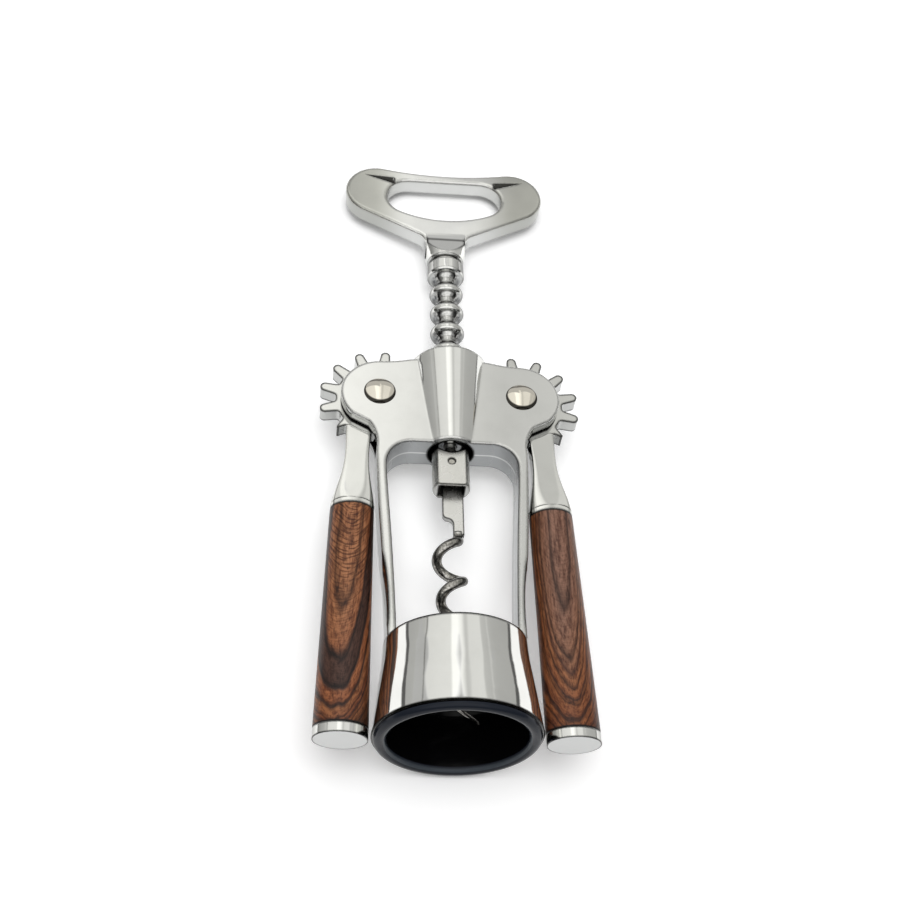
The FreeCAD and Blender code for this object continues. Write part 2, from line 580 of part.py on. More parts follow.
def worm():
    """Open helix of round wire with a drawn-out point and a flattened shank with an eye."""
    taper_from = WORM_TURNS - 0.55
    coil = worm_spine(0.0, taper_from).makePipeShell([worm_section(0.0, WORM_WIRE_RADIUS)], True, False)
    root = taper_from - 0.02    # the point is rooted just inside the end of the coil
    end = WORM_TURNS + 0.08
    root_section = worm_section(root, WORM_WIRE_RADIUS - 0.005)
    point = worm_spine(root, end).makePipeShell([root_section, worm_section(end, 0.25)], True, False)
    top = worm_point(0.0)
    stem = rod(WORM_WIRE_RADIUS, top, top + Vec(-WORM_AXIS_LEAN * STEM_LENGTH, STEM_LENGTH, 0))
    left, narrow, right = -2.35, 0.35, 3.2
    step_y, plate_y, top_y = 61.2, 63.2, SLOT_TOP_Y - 0.2
    edges = [
        line((right, SHANK_FOOT_Y), (right, top_y)),
        line((right, top_y), (left, top_y)),
        line((left, top_y), (left, plate_y)),
        arc((left, plate_y), (left + 0.45, plate_y - 0.85), (left + 1.3, plate_y - 1.2)),
        arc((left + 1.3, plate_y - 1.2), (narrow - 0.3, step_y + 0.1), (narrow, step_y - 1.0)),
        line((narrow, step_y - 1.0), (narrow, SHANK_FOOT_Y)),
        line((narrow, SHANK_FOOT_Y), (right, SHANK_FOOT_Y)),
    ]
    shank = plate(face_of(edges), SHANK_HALF_THICKNESS)
    shank.translate(Vec(0, 0, WORM_Z))
    eye_at = Vec(0, CARRIER_PIN_Y, 0)
    reach = Vec(0, 0, CARRIER_FLAT_Z)
    eye = rod(CARRIER_PIN_RADIUS, eye_at - reach, eye_at + reach)
    return coil.fuse([point, stem, shank]).cut(eye)


# ---- levers (modelled for the right side, pivot at the origin, grip straight down -Y) ------------------
def gear_tooth(angle):
    """One long tooth with a round tip; the angle is measured from +Y towards the outside."""
    tip_y = GEAR_TIP_RADIUS - TOOTH_TIP_ROUND
    foot_y = GEAR_ROOT_RADIUS - TOOTH_FOOT_SINK
    tip_x = TOOTH_TIP_ROUND
    edges = [
        line((-TOOTH_ROOT_HALF_WIDTH, foot_y), (TOOTH_ROOT_HALF_WIDTH, foot_y)),
        line((TOOTH_ROOT_HALF_WIDTH, foot_y), (tip_x, tip_y)),
        arc((tip_x, tip_y), (0, GEAR_TIP_RADIUS), (-tip_x, tip_y)),
        line((-tip_x, tip_y), (-TOOTH_ROOT_HALF_WIDTH, foot_y)),
    ]
    tooth = plate(face_of(edges), GEAR_HALF_THICKNESS)
    tooth.rotate(Vec(0, 0, 0), Vec(0, 0, 1), -math.degrees(angle))
    return tooth


def stub_tooth(angle):
    """Short pointed tooth where the gear runs out into the shank."""
    left_foot = (-1.5, GEAR_ROOT_RADIUS - TOOTH_FOOT_SINK)
    right_foot = (3.2, GEAR_ROOT_RADIUS - 1.6)
    tip_left, tip, tip_right = (-0.4, STUB_TIP_RADIUS - 0.3), (-0.05, STUB_TIP_RADIUS), (0.25, STUB_TIP_RADIUS - 0.3)
    edges = [
        line(left_foot, right_foot),
        arc(right_foot, (1.0, 12.6), tip_right),
        arc(tip_right, tip, tip_left),
        line(tip_left, left_foot),
    ]
    tooth = plate(face_of(edges), GEAR_HALF_THICKNESS)
    tooth.rotate(Vec(0, 0, 0), Vec(0, 0, 1), -math.degrees(angle))
    return tooth


def lever_casting():
    """Gear sector, flat shank and flared oval ferrule in one casting."""
    in_mesh = -math.pi / 2 + MESH_ANGLE + LEVER_LEAN
    teeth = [gear_tooth(in_mesh + step * TOOTH_STEP) for step in range(FULL_TEETH)]
    teeth.append(stub_tooth(in_mesh + FULL_TEETH * TOOTH_STEP))
    half = Vec(0, 0, GEAR_HALF_THICKNESS)
    disc = rod(GEAR_ROOT_RADIUS, -half, half)
    gear = disc.fuse(teeth)
    corners = [edge for edge in gear.Edges if is_tooth_root(edge)]
    gear = gear.makeFillet(TOOTH_ROOT_FILLET, corners)
    shank = Part.makeLoft([
        rounded_section(5.1, -7.0, 3.4, GEAR_HALF_THICKNESS, 0.35),
        rounded_section(5.15, -12.5, 3.35, GEAR_HALF_THICKNESS, 0.5),
        rounded_section(5.25, -18.5, 3.2, 2.35, 0.8),
        rounded_section(5.4, -25.0, 3.85, 2.9, 1.5),
        rounded_section(5.65, -31.0, 5.1, 4.15, 3.1),
        rounded_section(LEVER_AXIS_X, -34.3, 5.7, 5.0, 4.9),
    ], True, False)
    ferrule = oval_bar(LEVER_AXIS_X, -34.2, SEAM - FERRULE_END, (5.78, 5.08), (5.62, 4.92))
    body = gear.fuse([shank, ferrule])
    pivot_hole = rod(RIVET_SHANK_RADIUS + RIVET_CLEARANCE, -2 * half, 2 * half)
    rod_hole = rod(TIE_ROD_RADIUS, Vec(LEVER_AXIS_X, -FERRULE_END - 1, 0), Vec(LEVER_AXIS_X, -27.0, 0))
    return body.cut([pivot_hole, rod_hole])


def is_tooth_root(edge):
    """True for the upright edges where a tooth flank meets the gear's root circle."""
    box = edge.BoundBox
    upright = box.XLength < 0.01 and box.YLength < 0.01 and box.ZLength > 1
    return upright and abs(math.hypot(box.XMin, box.YMin) - GEAR_ROOT_RADIUS) < 0.02


def grip():
    """Oval turned wooden sleeve, drilled for the tie rod."""
    body = oval_bar(LEVER_AXIS_X, -FERRULE_END, -GRIP_END, GRIP_TOP_HALF, GRIP_END_HALF)
    hole = rod(TIE_ROD_RADIUS, Vec(LEVER_AXIS_X, 1 - FERRULE_END, 0), Vec(LEVER_AXIS_X, -GRIP_END - 1, 0))
    return body.cut(hole)


def end_cap():
    """Polished oval cap on the end of the wood."""
    body = oval_bar(LEVER_AXIS_X, -GRIP_END - SEAM, -CAP_END, GRIP_END_HALF, (6.57, 5.1))
    hole = rod(TIE_ROD_RADIUS, Vec(LEVER_AXIS_X, -GRIP_END, 0), Vec(LEVER_AXIS_X, -GRIP_END - 1.5, 0))
    return body.cut(hole)


def tie_rod():
    """Steel rod that holds casting, wood and cap together."""
    return rod(TIE_ROD_RADIUS, Vec(LEVER_AXIS_X, -27.1, 0), Vec(LEVER_AXIS_X, -GRIP_END - 1.4, 0))


def place_lever(shape, side):
    """Turn a lever piece to its closed angle, then set it on the left or right pivot."""
    placed = shape.copy()
    placed.rotate(Vec(0, 0, 0), Vec(0, 0, 1), math.degrees(LEVER_LEAN))
    placed.translate(Vec(PIVOT_X, PIVOT_Y, 0))
    return placed if side > 0 else mirrored(placed)


# ---- assembly -----------------------------------------------------------------------------------------
def lay_down(shape):
    """Carry a shape from the tool's own frame to the row frame."""
    placed = shape.copy()
    placed.rotate(Vec(0, 0, 0), Vec(1, 0, 0), -math.degrees(REST_TILT))
    placed.translate(Vec(0, -ROW_ORIGIN_Y, REST_HEIGHT))
    return placed


def all_pieces():
    pieces = {
        "frame_casting": frame_casting(),
        "bell_liner": bell_liner(),
        "rack_sleeve": rack_sleeve(),
        "spindle_rod": spindle_rod(),
        "thrust_washer": thrust_washer(),
        "handle_head": handle_head(),
        "worm_carrier": worm_carrier(),
        "carrier_pin": carrier_pin(),
        "worm": worm(),
        "pivot_rivets": Part.makeCompound([pivot_rivet(-1), pivot_rivet(1)]),
    }
    lever_pieces = {"lever": lever_casting(), "grip": grip(), "end_cap": end_cap(), "tie_rod": tie_rod()}
    for word, side in (("left", -1), ("right", 1)):
        for name, shape in lever_pieces.items():
            pieces[word + "_" + name] = place_lever(shape, side)
    return pieces


def main():
    os.makedirs("parts", exist_ok=True)
    for name, shape in all_pieces().items():
        placed = lay_down(shape)
        placed.exportStep("parts/" + name + ".step")
        print(name, "solids", len(placed.Solids), "valid", placed.isValid(), "volume", round(placed.Volume, 1))


main()
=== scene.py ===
"""Looks of a wing corkscrew: its finishes, its studio and its camera.

The solids of the tool come packed from CAD and show every form of it. This script gives each of them its
finish and sets the tool on a white table under a broad lamp. Lengths are in millimetres and turn to metres by
MM where Blender needs them. Patterns follow the tool's own frame: x across it to the right lever, y along the
spindle from the bell's mouth, z out of its front.
"""

import logging
import math
from dataclasses import dataclass
from enum import Enum

import bmesh
import bpy
from mathutils import Euler, Matrix, Vector

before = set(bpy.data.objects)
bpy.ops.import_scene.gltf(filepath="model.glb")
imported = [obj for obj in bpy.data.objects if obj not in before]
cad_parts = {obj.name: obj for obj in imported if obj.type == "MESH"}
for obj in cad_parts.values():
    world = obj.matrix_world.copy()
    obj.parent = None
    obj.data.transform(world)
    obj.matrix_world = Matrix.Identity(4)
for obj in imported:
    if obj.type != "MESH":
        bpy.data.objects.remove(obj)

Material = bpy.types.Material
Tree = bpy.types.NodeTree
Node = bpy.types.Node
Socket = bpy.types.NodeSocket
Colour = tuple[float, float, float, float]
Span = tuple[float, float]

MM = 0.001
BELL_REST = (0.7, 20.45)        # the tool rests on its bell's rim, this far along the spindle and below it,
SLEEVE_REST = (110.8, 10.7)     # and on its sleeve
TOOL_TILT = math.atan((BELL_REST[1] - SLEEVE_REST[1]) / (SLEEVE_REST[0] - BELL_REST[0]))
TOOL_AXIS_HEIGHT = BELL_REST[1] * math.cos(TOOL_TILT) + BELL_REST[0] * math.sin(TOOL_TILT)
TOOL_ORIGIN_Y = 92.23
PIVOT = (19.3, 98.0)            # a lever's pivot, beside and along the spindle
LEVER_LEAN = 0.0253             # how far each closed lever leans outwards, in radians
GRIP_BESIDE_PIVOT = 5.75
GRIP_END = 96.2                 # from the pivot down to the lower end of the wood
GRIP_LENGTH = 60.5
NOISE = (0.3, 0.7)              # nearly all of a noise lies between these
WHITE = (1.0, 1.0, 1.0, 1.0)
LOG = logging.getLogger("corkscrew")


# ---- places ------------------------------------------------------------------------------------------
def on_tool(x: float, y: float, z: float) -> Vector:
    """Carry a point from the tool's own frame to the scene.

    Args:
        x: millimetres across the tool, to the right lever.
        y: millimetres along the spindle from the bell mouth.
        z: millimetres out of the front.

    Returns:
        The same point in metres, in the frame that the solids are in.
    """
    cos, sin = math.cos(TOOL_TILT), math.sin(TOOL_TILT)
    return Vector((x, y * cos + z * sin - TOOL_ORIGIN_Y, TOOL_AXIS_HEIGHT - y * sin + z * cos)) * MM


def ahead() -> Colour:
    """Give the direction straight out of the tool's front, as a colour that a normal can be mixed with."""
    return (*(on_tool(0.0, 0.0, 1.0) - on_tool(0.0, 0.0, 0.0)).normalized(), 1.0)


# ---- shader nodes ------------------------------------------------------------------------------------
def linear(code: str) -> Colour:
    """Turn an sRGB colour to linear.

    Args:
        code: the colour in hex, such as "8a4c2a".

    Returns:
        The linear colour with full alpha.
    """
    parts = [int(code[i:i + 2], 16) / 255 for i in (0, 2, 4)]
    rgb = [p / 12.92 if p <= 0.04045 else ((p + 0.055) / 1.055) ** 2.4 for p in parts]
    return rgb[0], rgb[1], rgb[2], 1.0


def add_node(tree: Tree, kind: str, inputs: dict | None = None, stops: tuple = (), **settings: object) -> Node:
    """Add one shader node, set its properties, fill its inputs and set its colour stops.

    Args:
        tree: the node tree that gets the node.
        kind: the node's type, without the leading "ShaderNode".
        inputs: socket name or index to a value, or to a socket or node that is linked. A node stands for
            its first output.
        stops: for a colour ramp, each stop's position and its colour.
        **settings: properties of the node itself.

    Returns:
        The new node.
    """
    node = tree.nodes.new("ShaderNode" + kind)
    for name, value in settings.items():
        setattr(node, name, value)
    for key, value in (inputs or {}).items():
        if isinstance(value, bpy.types.Node):
            value = value.outputs[0]
        if isinstance(value, bpy.types.NodeSocket):
            tree.links.new(value, node.inputs[key])
        else:
            node.inputs[key].default_value = value
    while stops and len(node.color_ramp.elements) < len(stops):
        node.color_ramp.elements.new(1.0)
    for index, (position, colour) in enumerate(stops):
        node.color_ramp.elements[index].position = position
        node.color_ramp.elements[index].color = colour
    return node


def blank_material(name: str) -> tuple[Material, Tree, Node]:
    """Make a material that holds only an output.

    Args:
        name: the material's name.

    Returns:
        The material, its node tree and the output.
    """
    material = bpy.data.materials.new(name)
    material.use_nodes = True
    tree = material.node_tree
    tree.nodes.clear()
    return material, tree, add_node(tree, "OutputMaterial")


def tool_place(tree: Tree, origin: tuple[float, float, float] = (0.0, 0.0, 0.0), turn: float = 0.0) -> Node:
    """Give every point's place in the tool's own frame, in millimetres.

    Args:
        tree: the node tree.
        origin: the tool-frame point that becomes zero.
        turn: turn of the axes about the front's normal, in radians.

    Returns:
        The node whose output is the place.
    """
    rotation = Euler((TOOL_TILT, 0.0, turn))
    shift = rotation.to_matrix() @ (on_tool(*origin) / -MM)
    return add_node(tree, "Mapping", {
        "Vector": add_node(tree, "TexCoord").outputs["Object"], "Location": shift, "Rotation": rotation,
        "Scale": (1 / MM,) * 3})


def along_spindle(tree: Tree, place: Node) -> Socket:
    """Give how far along the spindle a place lies, from the bell's mouth."""
    return add_node(tree, "SeparateXYZ", {"Vector": place}).outputs["Y"]


def beside_spindle(tree: Tree, place: Node) -> Node:
    """Give how far beside the spindle a place lies, to either side."""
    return add_node(tree, "Math", {
        0: add_node(tree, "SeparateXYZ", {"Vector": place}).outputs["X"]}, operation="ABSOLUTE")


def spindle_radius(tree: Tree, place: Node) -> Socket:
    """Give the distance of a place from the spindle's axis."""
    flat = add_node(tree, "VectorMath", {0: place, 1: (1.0, 0.0, 1.0)}, operation="MULTIPLY")
    return add_node(tree, "VectorMath", {0: flat}, operation="LENGTH").outputs["Value"]


def pivot_radius(tree: Tree, place: Node, raised: float = 0.0) -> Socket:
    """Give the distance of a place from the nearer lever's pivot.

    Args:
        tree: the node tree.
        place: places in the tool's frame.
        raised: how far the middle is moved along the spindle.

    Returns:
        The socket with the distance, as seen from the front.
    """
    flat = add_node(tree, "CombineXYZ", {"X": beside_spindle(tree, place), "Y": along_spindle(tree, place)})
    middle = (PIVOT[0], PIVOT[1] + raised, 0.0)
    return add_node(tree, "VectorMath", {0: flat, 1: middle}, operation="DISTANCE").outputs["Value"]


def looks_along(tree: Tree, axis: str) -> Socket:
    """Give how much a face looks along one axis of the scene, from -1 to 1."""
    return add_node(tree, "SeparateXYZ", {"Vector": add_node(tree, "TexCoord").outputs["Normal"]}).outputs[axis]


def between(tree: Tree, value: Node | Socket, low: float, high: float, soft: float = 0.15) -> Node:
    """Give 1 where a value lies between two limits and 0 outside them, with soft ends.

    Args:
        tree: the node tree.
        value: the socket or node that is tested.
        low: the lower limit.
        high: the upper limit.
        soft: how far outside a limit the result reaches 0.

    Returns:
        The node whose output is the result.
    """
    above = add_node(tree, "MapRange", {"Value": value, "From Min": low - soft, "From Max": low})
    below = add_node(tree, "MapRange", {"Value": value, "From Min": high + soft, "From Max": high})
    return add_node(tree, "Math", {0: above, 1: below}, operation="MULTIPLY")


# ---- metals ------------------------------------------------------------------------------------------
@dataclass(frozen=True)
class PlatedMetal:
    """Bright plating on a cast or turned metal.

    Buffing leaves slow waves, so straight reflections run a little crooked, and it leaves the edges rounded. A dark
    line of painted shade runs along the edges, round forms get painted shade towards their outline, and faces
    that look sideways or down are greyed by painted shade. The finishes below override what differs on their
    pieces. Their methods take the material's node tree and, where they need it, the node with places in the
    tool's frame.

    Attributes:
        name: the material's name.
        tint: sRGB colour that the metal reflects with.
        roughness: mean roughness.
        wear: how much the roughness changes over the surface.
        wave_mm: length of the slow waves that buffing leaves.
        wave_depth: height of those waves.
        grain_mm: size of the fine surface grain.
        grain_depth: height of that grain.
        edge_mm: how far from an edge the rounding reaches.
        edge_dark: how dark the painted shade along the edges is, from 0 to 1.
        rim_dark: how dark the painted shade is that round forms get towards their outline, from 0 to 1.
        side_shade: how much painted shade greys the faces that look sideways or down.
        dulled: sRGB colour of the places that handling has dulled.
        edge_shade: sRGB colour of the painted shade along the edges.
    """

    name: str
    tint: str
    roughness: float
    wear: float = 0.01
    wave_mm: float = 9.0
    wave_depth: float = 0.02
    grain_mm: float = 0.3
    grain_depth: float = 0.0
    edge_mm: float = 0.5
    edge_dark: float = 0.9
    rim_dark: float = 0.0
    # painted shade on faces that look sideways or down
    side_shade: float = 0.45
    dulled: str = "6b6860"
    # colour of the painted shade along the edges
    edge_shade: str = "12110f"

    def colour(self, tree: Tree, place: Node) -> Node:
        """Give the metal's colour: the tint, a shade darker where handling has dulled it.

        Args:
            tree: the node tree.
            place: places in the tool's frame.

        Returns:
            The node with the colour.
        """
        smear = add_node(tree, "TexNoise", {"Vector": place, "Scale": 1 / 7.0, "Detail": 3.0})
        dull = add_node(tree, "MapRange", {"Value": smear, "From Min": 0.45, "From Max": 0.75, "To Max": 0.06})
        return add_node(tree, "MixRGB", {"Fac": dull, "Color1": linear(self.tint), "Color2": linear(self.dulled)})

    def wall(self, tree: Tree, place: Node) -> Node:
        """Give the colour with painted shade greying the faces that look sideways or down.

        Args:
            tree: the node tree.
            place: places in the tool's frame.

        Returns:
            The node with the colour.
        """
        # Painted shade: faces that look sideways or down turn grey.
        beside = add_node(tree, "MapRange", {
            "Value": looks_along(tree, "Z"), "From Min": 0.5, "From Max": 0.1, "To Max": self.side_shade})
        return add_node(tree, "MixRGB", {
            "Fac": beside, "Color1": self.colour(tree, place), "Color2": linear("75797e")})

    def gloss(self, tree: Tree, place: Node) -> Node:
        """Give the roughness: the mean, smeared a little by handling.

        Args:
            tree: the node tree.
            place: places in the tool's frame.

        Returns:
            The node with the roughness.
        """
        smear = add_node(tree, "TexNoise", {"Vector": place, "Scale": 1 / 4.0, "Detail": 3.0})
        return add_node(tree, "MapRange", {
            "Value": smear, "From Min": NOISE[0], "From Max": NOISE[1],
            "To Min": max(0.0, self.roughness - self.wear), "To Max": self.roughness + self.wear})

    def line_reach(self, tree: Tree) -> float | Node:
        """Give how far from an edge its line of painted shade reaches, in metres."""
        return self.edge_mm * MM

    def lines(self, tree: Tree) -> Node:
        """Give how much painted shade a place gets for lying on an edge or near a round form's outline.

        Args:
            tree: the node tree.

        Returns:
            The node with the darkness, from 0 to 1.
        """
        depth = add_node(tree, "AmbientOcclusion", {
            "Distance": self.line_reach(tree)}, inside=True, only_local=True, samples=8).outputs["AO"]
        edge = add_node(tree, "MapRange", {
            "Value": depth, "From Min": 0.96, "From Max": 0.70, "To Max": self.edge_dark})
        facing = add_node(tree, "LayerWeight", {"Blend": 0.5}).outputs["Facing"]
        rim = add_node(tree, "MapRange", {
            "Value": facing, "From Min": 0.35, "From Max": 0.72, "To Max": self.rim_dark})
        return add_node(tree, "Math", {0: edge, 1: rim}, operation="MAXIMUM")

    def rounded(self, tree: Tree) -> Node:
        """Give the surface's normal with its edges rounded by the buffing."""
        return add_node(tree, "Bevel", {"Radius": self.edge_mm * MM}, samples=6)

    def build(self) -> Material:
        """Build the material with procedural wear, waves, grain and rounded edges.

        Returns:
            The material.
        """
        material, tree, output = blank_material(self.name)
        place = tool_place(tree)
        wave = add_node(tree, "TexNoise", {"Vector": place, "Scale": 1 / self.wave_mm, "Detail": 1.0})
        bump = add_node(tree, "Bump", {
            "Height": wave, "Distance": self.wave_depth * MM, "Normal": self.rounded(tree)})
        if self.grain_depth:
            grain = add_node(tree, "TexNoise", {
                "Vector": place, "Scale": 1 / self.grain_mm, "Detail": 4.0, "Roughness": 0.65})
            bump = add_node(tree, "Bump", {"Height": grain, "Distance": self.grain_depth * MM, "Normal": bump})
        # Painted shade: a dark line along the edges, and darker towards round forms' outlines.
        colour = add_node(tree, "MixRGB", {
            "Fac": self.lines(tree), "Color1": self.wall(tree, place), "Color2": linear(self.edge_shade)})
        shader = add_node(tree, "BsdfPrincipled", {
            "Base Color": colour, "Metallic": 1.0, "Roughness": self.gloss(tree, place), "Normal": bump})
        tree.links.new(shader.outputs["BSDF"], output.inputs["Surface"])
        return material


@dataclass(frozen=True)
class FrameChrome(PlatedMetal):
    """Chrome on the frame casting.

    Sleeve and bell are buffed to a mirror, the flats beside them are left satin. The underside of the arch keeps
    its rougher cast skin, greyed by painted shade, with a painted highlight along the seam of the mould. The bore
    and the gear slots get painted shade near black.

    Attributes:
        satin: how much rougher the flats of cheeks, arch and legs are.
        skin_roughness: how much rougher the cast skin is.
        sleeve_radius: distance from the spindle's axis at which the flats start.
        bore_radius: the sleeve's bore, inside which painted shade turns the chrome near black.
        slot_half: half the width of the slots that the gears run in.
        slot_radius: how far those slots reach from the pivots.
        shoulder_y: height along the tool at which the legs turn into the cheeks.
        window_y: heights between which the faces round the window keep their cast skin, greyed by painted shade.
        window_half: how far beside the spindle those faces reach.
        seam_half: half the width of the painted highlight along the mould's seam.
        leg_line_mm: how far the painted shade along an edge reaches on the narrow legs.
    """

    satin: float = 0.03
    skin_roughness: float = 0.22
    sleeve_radius: float = 10.9
    bore_radius: float = 6.05
    slot_half: float = 2.7
    slot_radius: float = 17.0
    shoulder_y: float = 62.0
    window_y: Span = (28.0, 84.0)
    window_half: float = 17.6
    seam_half: float = 0.22
    leg_line_mm: float = 1.05

    def line_reach(self, tree: Tree) -> float | Node:
        """Give how far from an edge its painted shade reaches: further on the legs.

        Args:
            tree: the node tree.

        Returns:
            The node with the reach in metres.
        """
        leg = between(tree, along_spindle(tree, tool_place(tree)), self.window_y[0], self.shoulder_y + 10.0, 6.0)
        return add_node(tree, "MapRange", {
            "Value": leg, "To Min": self.edge_mm * MM, "To Max": self.leg_line_mm * MM})

    def cast_skin(self, tree: Tree, place: Node) -> Node:
        """Find the faces that look into the frame's window.

        Args:
            tree: the node tree.
            place: places in the tool's frame.

        Returns:
            The node that is 1 on those faces and 0 elsewhere.
        """
        axes = add_node(tree, "SeparateXYZ", {"Vector": place})
        outward = add_node(tree, "Math", {0: axes.outputs["X"]}, operation="SIGN")
        away = add_node(tree, "CombineXYZ", {"X": outward, "Y": 0.9, "Z": 0.0})
        turned = add_node(tree, "VectorMath", {
            0: add_node(tree, "TexCoord").outputs["Normal"], 1: away}, operation="DOT_PRODUCT").outputs["Value"]
        looks_in = add_node(tree, "MapRange", {"Value": turned, "From Min": -0.62, "From Max": -0.78})
        height = between(tree, axes.outputs["Y"], *self.window_y)
        width = between(tree, axes.outputs["X"], -self.window_half, self.window_half)
        inside = add_node(tree, "Math", {0: height, 1: width}, operation="MULTIPLY")
        return add_node(tree, "Math", {0: looks_in, 1: inside}, operation="MULTIPLY")

    def colour(self, tree: Tree, place: Node) -> Node:
        """Give the chrome's colour: painted shade on cast skin and in bore and slots, a painted highlight on its seam.

        Args:
            tree: the node tree.
            place: places in the tool's frame.

        Returns:
            The node with the colour.
        """
        depth = add_node(tree, "SeparateXYZ", {"Vector": place}).outputs["Z"]
        # Painted shade greys the cast skin, and a painted highlight runs along the mould's seam.
        seam = between(tree, depth, -self.seam_half, self.seam_half, 0.1)
        skin = add_node(tree, "MixRGB", {"Fac": seam, "Color1": linear("b2b3b2"), "Color2": linear("f2f2f0")})
        plated = add_node(tree, "MixRGB", {
            "Fac": self.cast_skin(tree, place), "Color1": super().colour(tree, place), "Color2": skin})
        # Painted shade turns the bore and the gear slots near black.
        bore = between(tree, spindle_radius(tree, place), -1.0, self.bore_radius + 0.05)
        slot = add_node(tree, "Math", {
            0: between(tree, depth, -self.slot_half, self.slot_half, 0.1),
            1: between(tree, pivot_radius(tree, place), -1.0, self.slot_radius)}, operation="MULTIPLY")
        recess_shade = add_node(tree, "Math", {0: bore, 1: slot}, operation="MAXIMUM")
        return add_node(tree, "MixRGB", {"Fac": recess_shade, "Color1": plated, "Color2": linear("16130f")})

    def gloss(self, tree: Tree, place: Node) -> Node:
        """Give the roughness: higher on the flats beside the sleeve, highest on cast skin.

        Args:
            tree: the node tree.
            place: places in the tool's frame.

        Returns:
            The node with the roughness.
        """
        cheek = add_node(tree, "MapRange", {
            "Value": along_spindle(tree, place), "From Min": self.shoulder_y, "From Max": self.shoulder_y + 8.0,
            "To Max": self.satin})
        beside = add_node(tree, "MapRange", {
            "Value": spindle_radius(tree, place), "From Min": self.sleeve_radius,
            "From Max": self.sleeve_radius + 1.0})
        flats = add_node(tree, "Math", {0: cheek, 1: beside, 2: super().gloss(tree, place)}, operation="MULTIPLY_ADD")
        return add_node(tree, "Math", {
            0: self.cast_skin(tree, place), 1: self.skin_roughness, 2: flats}, operation="MULTIPLY_ADD")


@dataclass(frozen=True)
class HandleChrome(PlatedMetal):
    """Chrome on the handle: a mirror all over, with painted shade darker on the lobes and dark in the creases beside
    the lip.

    Attributes:
        crease_x: where the creases start and end beside the spindle.
        crease_y: heights along the tool that they lie between.
        flat_z: height of the handle's flat out of the front.
        crease_sunk: how far under the flat the creases lie, at most and at least.
        lobes: distances beside the spindle over which the bright middle turns into the lobes' painted shade.
    """

    crease_x: Span = (15.7, 24.6)
    crease_y: Span = (181.3, 185.3)
    flat_z: float = 2.8
    crease_sunk: Span = (1.2, 0.16)
    lobes: Span = (9.0, 22.0)

    def colour(self, tree: Tree, place: Node) -> Node:
        """Give the chrome's colour: bright in the middle, with painted shade on the lobes and in the creases.

        Args:
            tree: the node tree.
            place: places in the tool's frame.

        Returns:
            The node with the colour.
        """
        axes = add_node(tree, "SeparateXYZ", {"Vector": place})
        across = beside_spindle(tree, place)
        beside = add_node(tree, "Math", {
            0: between(tree, across, *self.crease_x), 1: between(tree, axes.outputs["Y"], *self.crease_y)},
            operation="MULTIPLY")
        sunk = between(tree, axes.outputs["Z"], self.flat_z - self.crease_sunk[0],
                       self.flat_z - self.crease_sunk[1], 0.14)
        # Painted shade turns the creases beside the lip dark.
        crease_shade = add_node(tree, "Math", {0: beside, 1: sunk}, operation="MULTIPLY")
        # Painted shade darkens the lobes.
        lobe = add_node(tree, "MapRange", {
            "Value": across, "From Min": self.lobes[0], "From Max": self.lobes[1]}, interpolation_type="SMOOTHSTEP")
        lobe_shade = add_node(tree, "MixRGB", {"Fac": lobe, "Color1": WHITE, "Color2": linear("d2d2cd")})
        plate = add_node(tree, "MixRGB", {
            "Fac": 1.0, "Color1": super().colour(tree, place), "Color2": lobe_shade}, blend_type="MULTIPLY")
        return add_node(tree, "MixRGB", {"Fac": crease_shade, "Color1": plate, "Color2": linear("3a3a37")})


@dataclass(frozen=True)
class RivetNickel(PlatedMetal):
    """Nickel on the rivets' domes: warm and bright, with a crescent of painted shade where each head meets the cheek.

    Attributes:
        head_radius: radius of the bright dome.
        head_soft: width over which the dome turns into the painted shade.
        crescent: how far the painted shade is thicker towards the bell.
        flatness: how much flatter the dome mirrors than it stands, as its crown was set with a flat punch.
    """

    head_radius: float = 3.95
    head_soft: float = 0.25
    crescent: float = 0.45
    flatness: float = 0.4

    def rounded(self, tree: Tree) -> Node:
        """Give the dome's normal, turned part of the way to straight out of the front."""
        dome = add_node(tree, "NewGeometry").outputs["Normal"]
        return add_node(tree, "MixRGB", {"Fac": self.flatness, "Color1": dome, "Color2": ahead()})

    def lines(self, tree: Tree) -> Node:
        """Give how much painted shade a place gets for lying under the dome's edge, from 0 to 1."""
        away = pivot_radius(tree, tool_place(tree), self.crescent)
        return add_node(tree, "MapRange", {
            "Value": away, "From Min": self.head_radius - self.head_soft, "From Max": self.head_radius,
            "To Max": self.edge_dark})


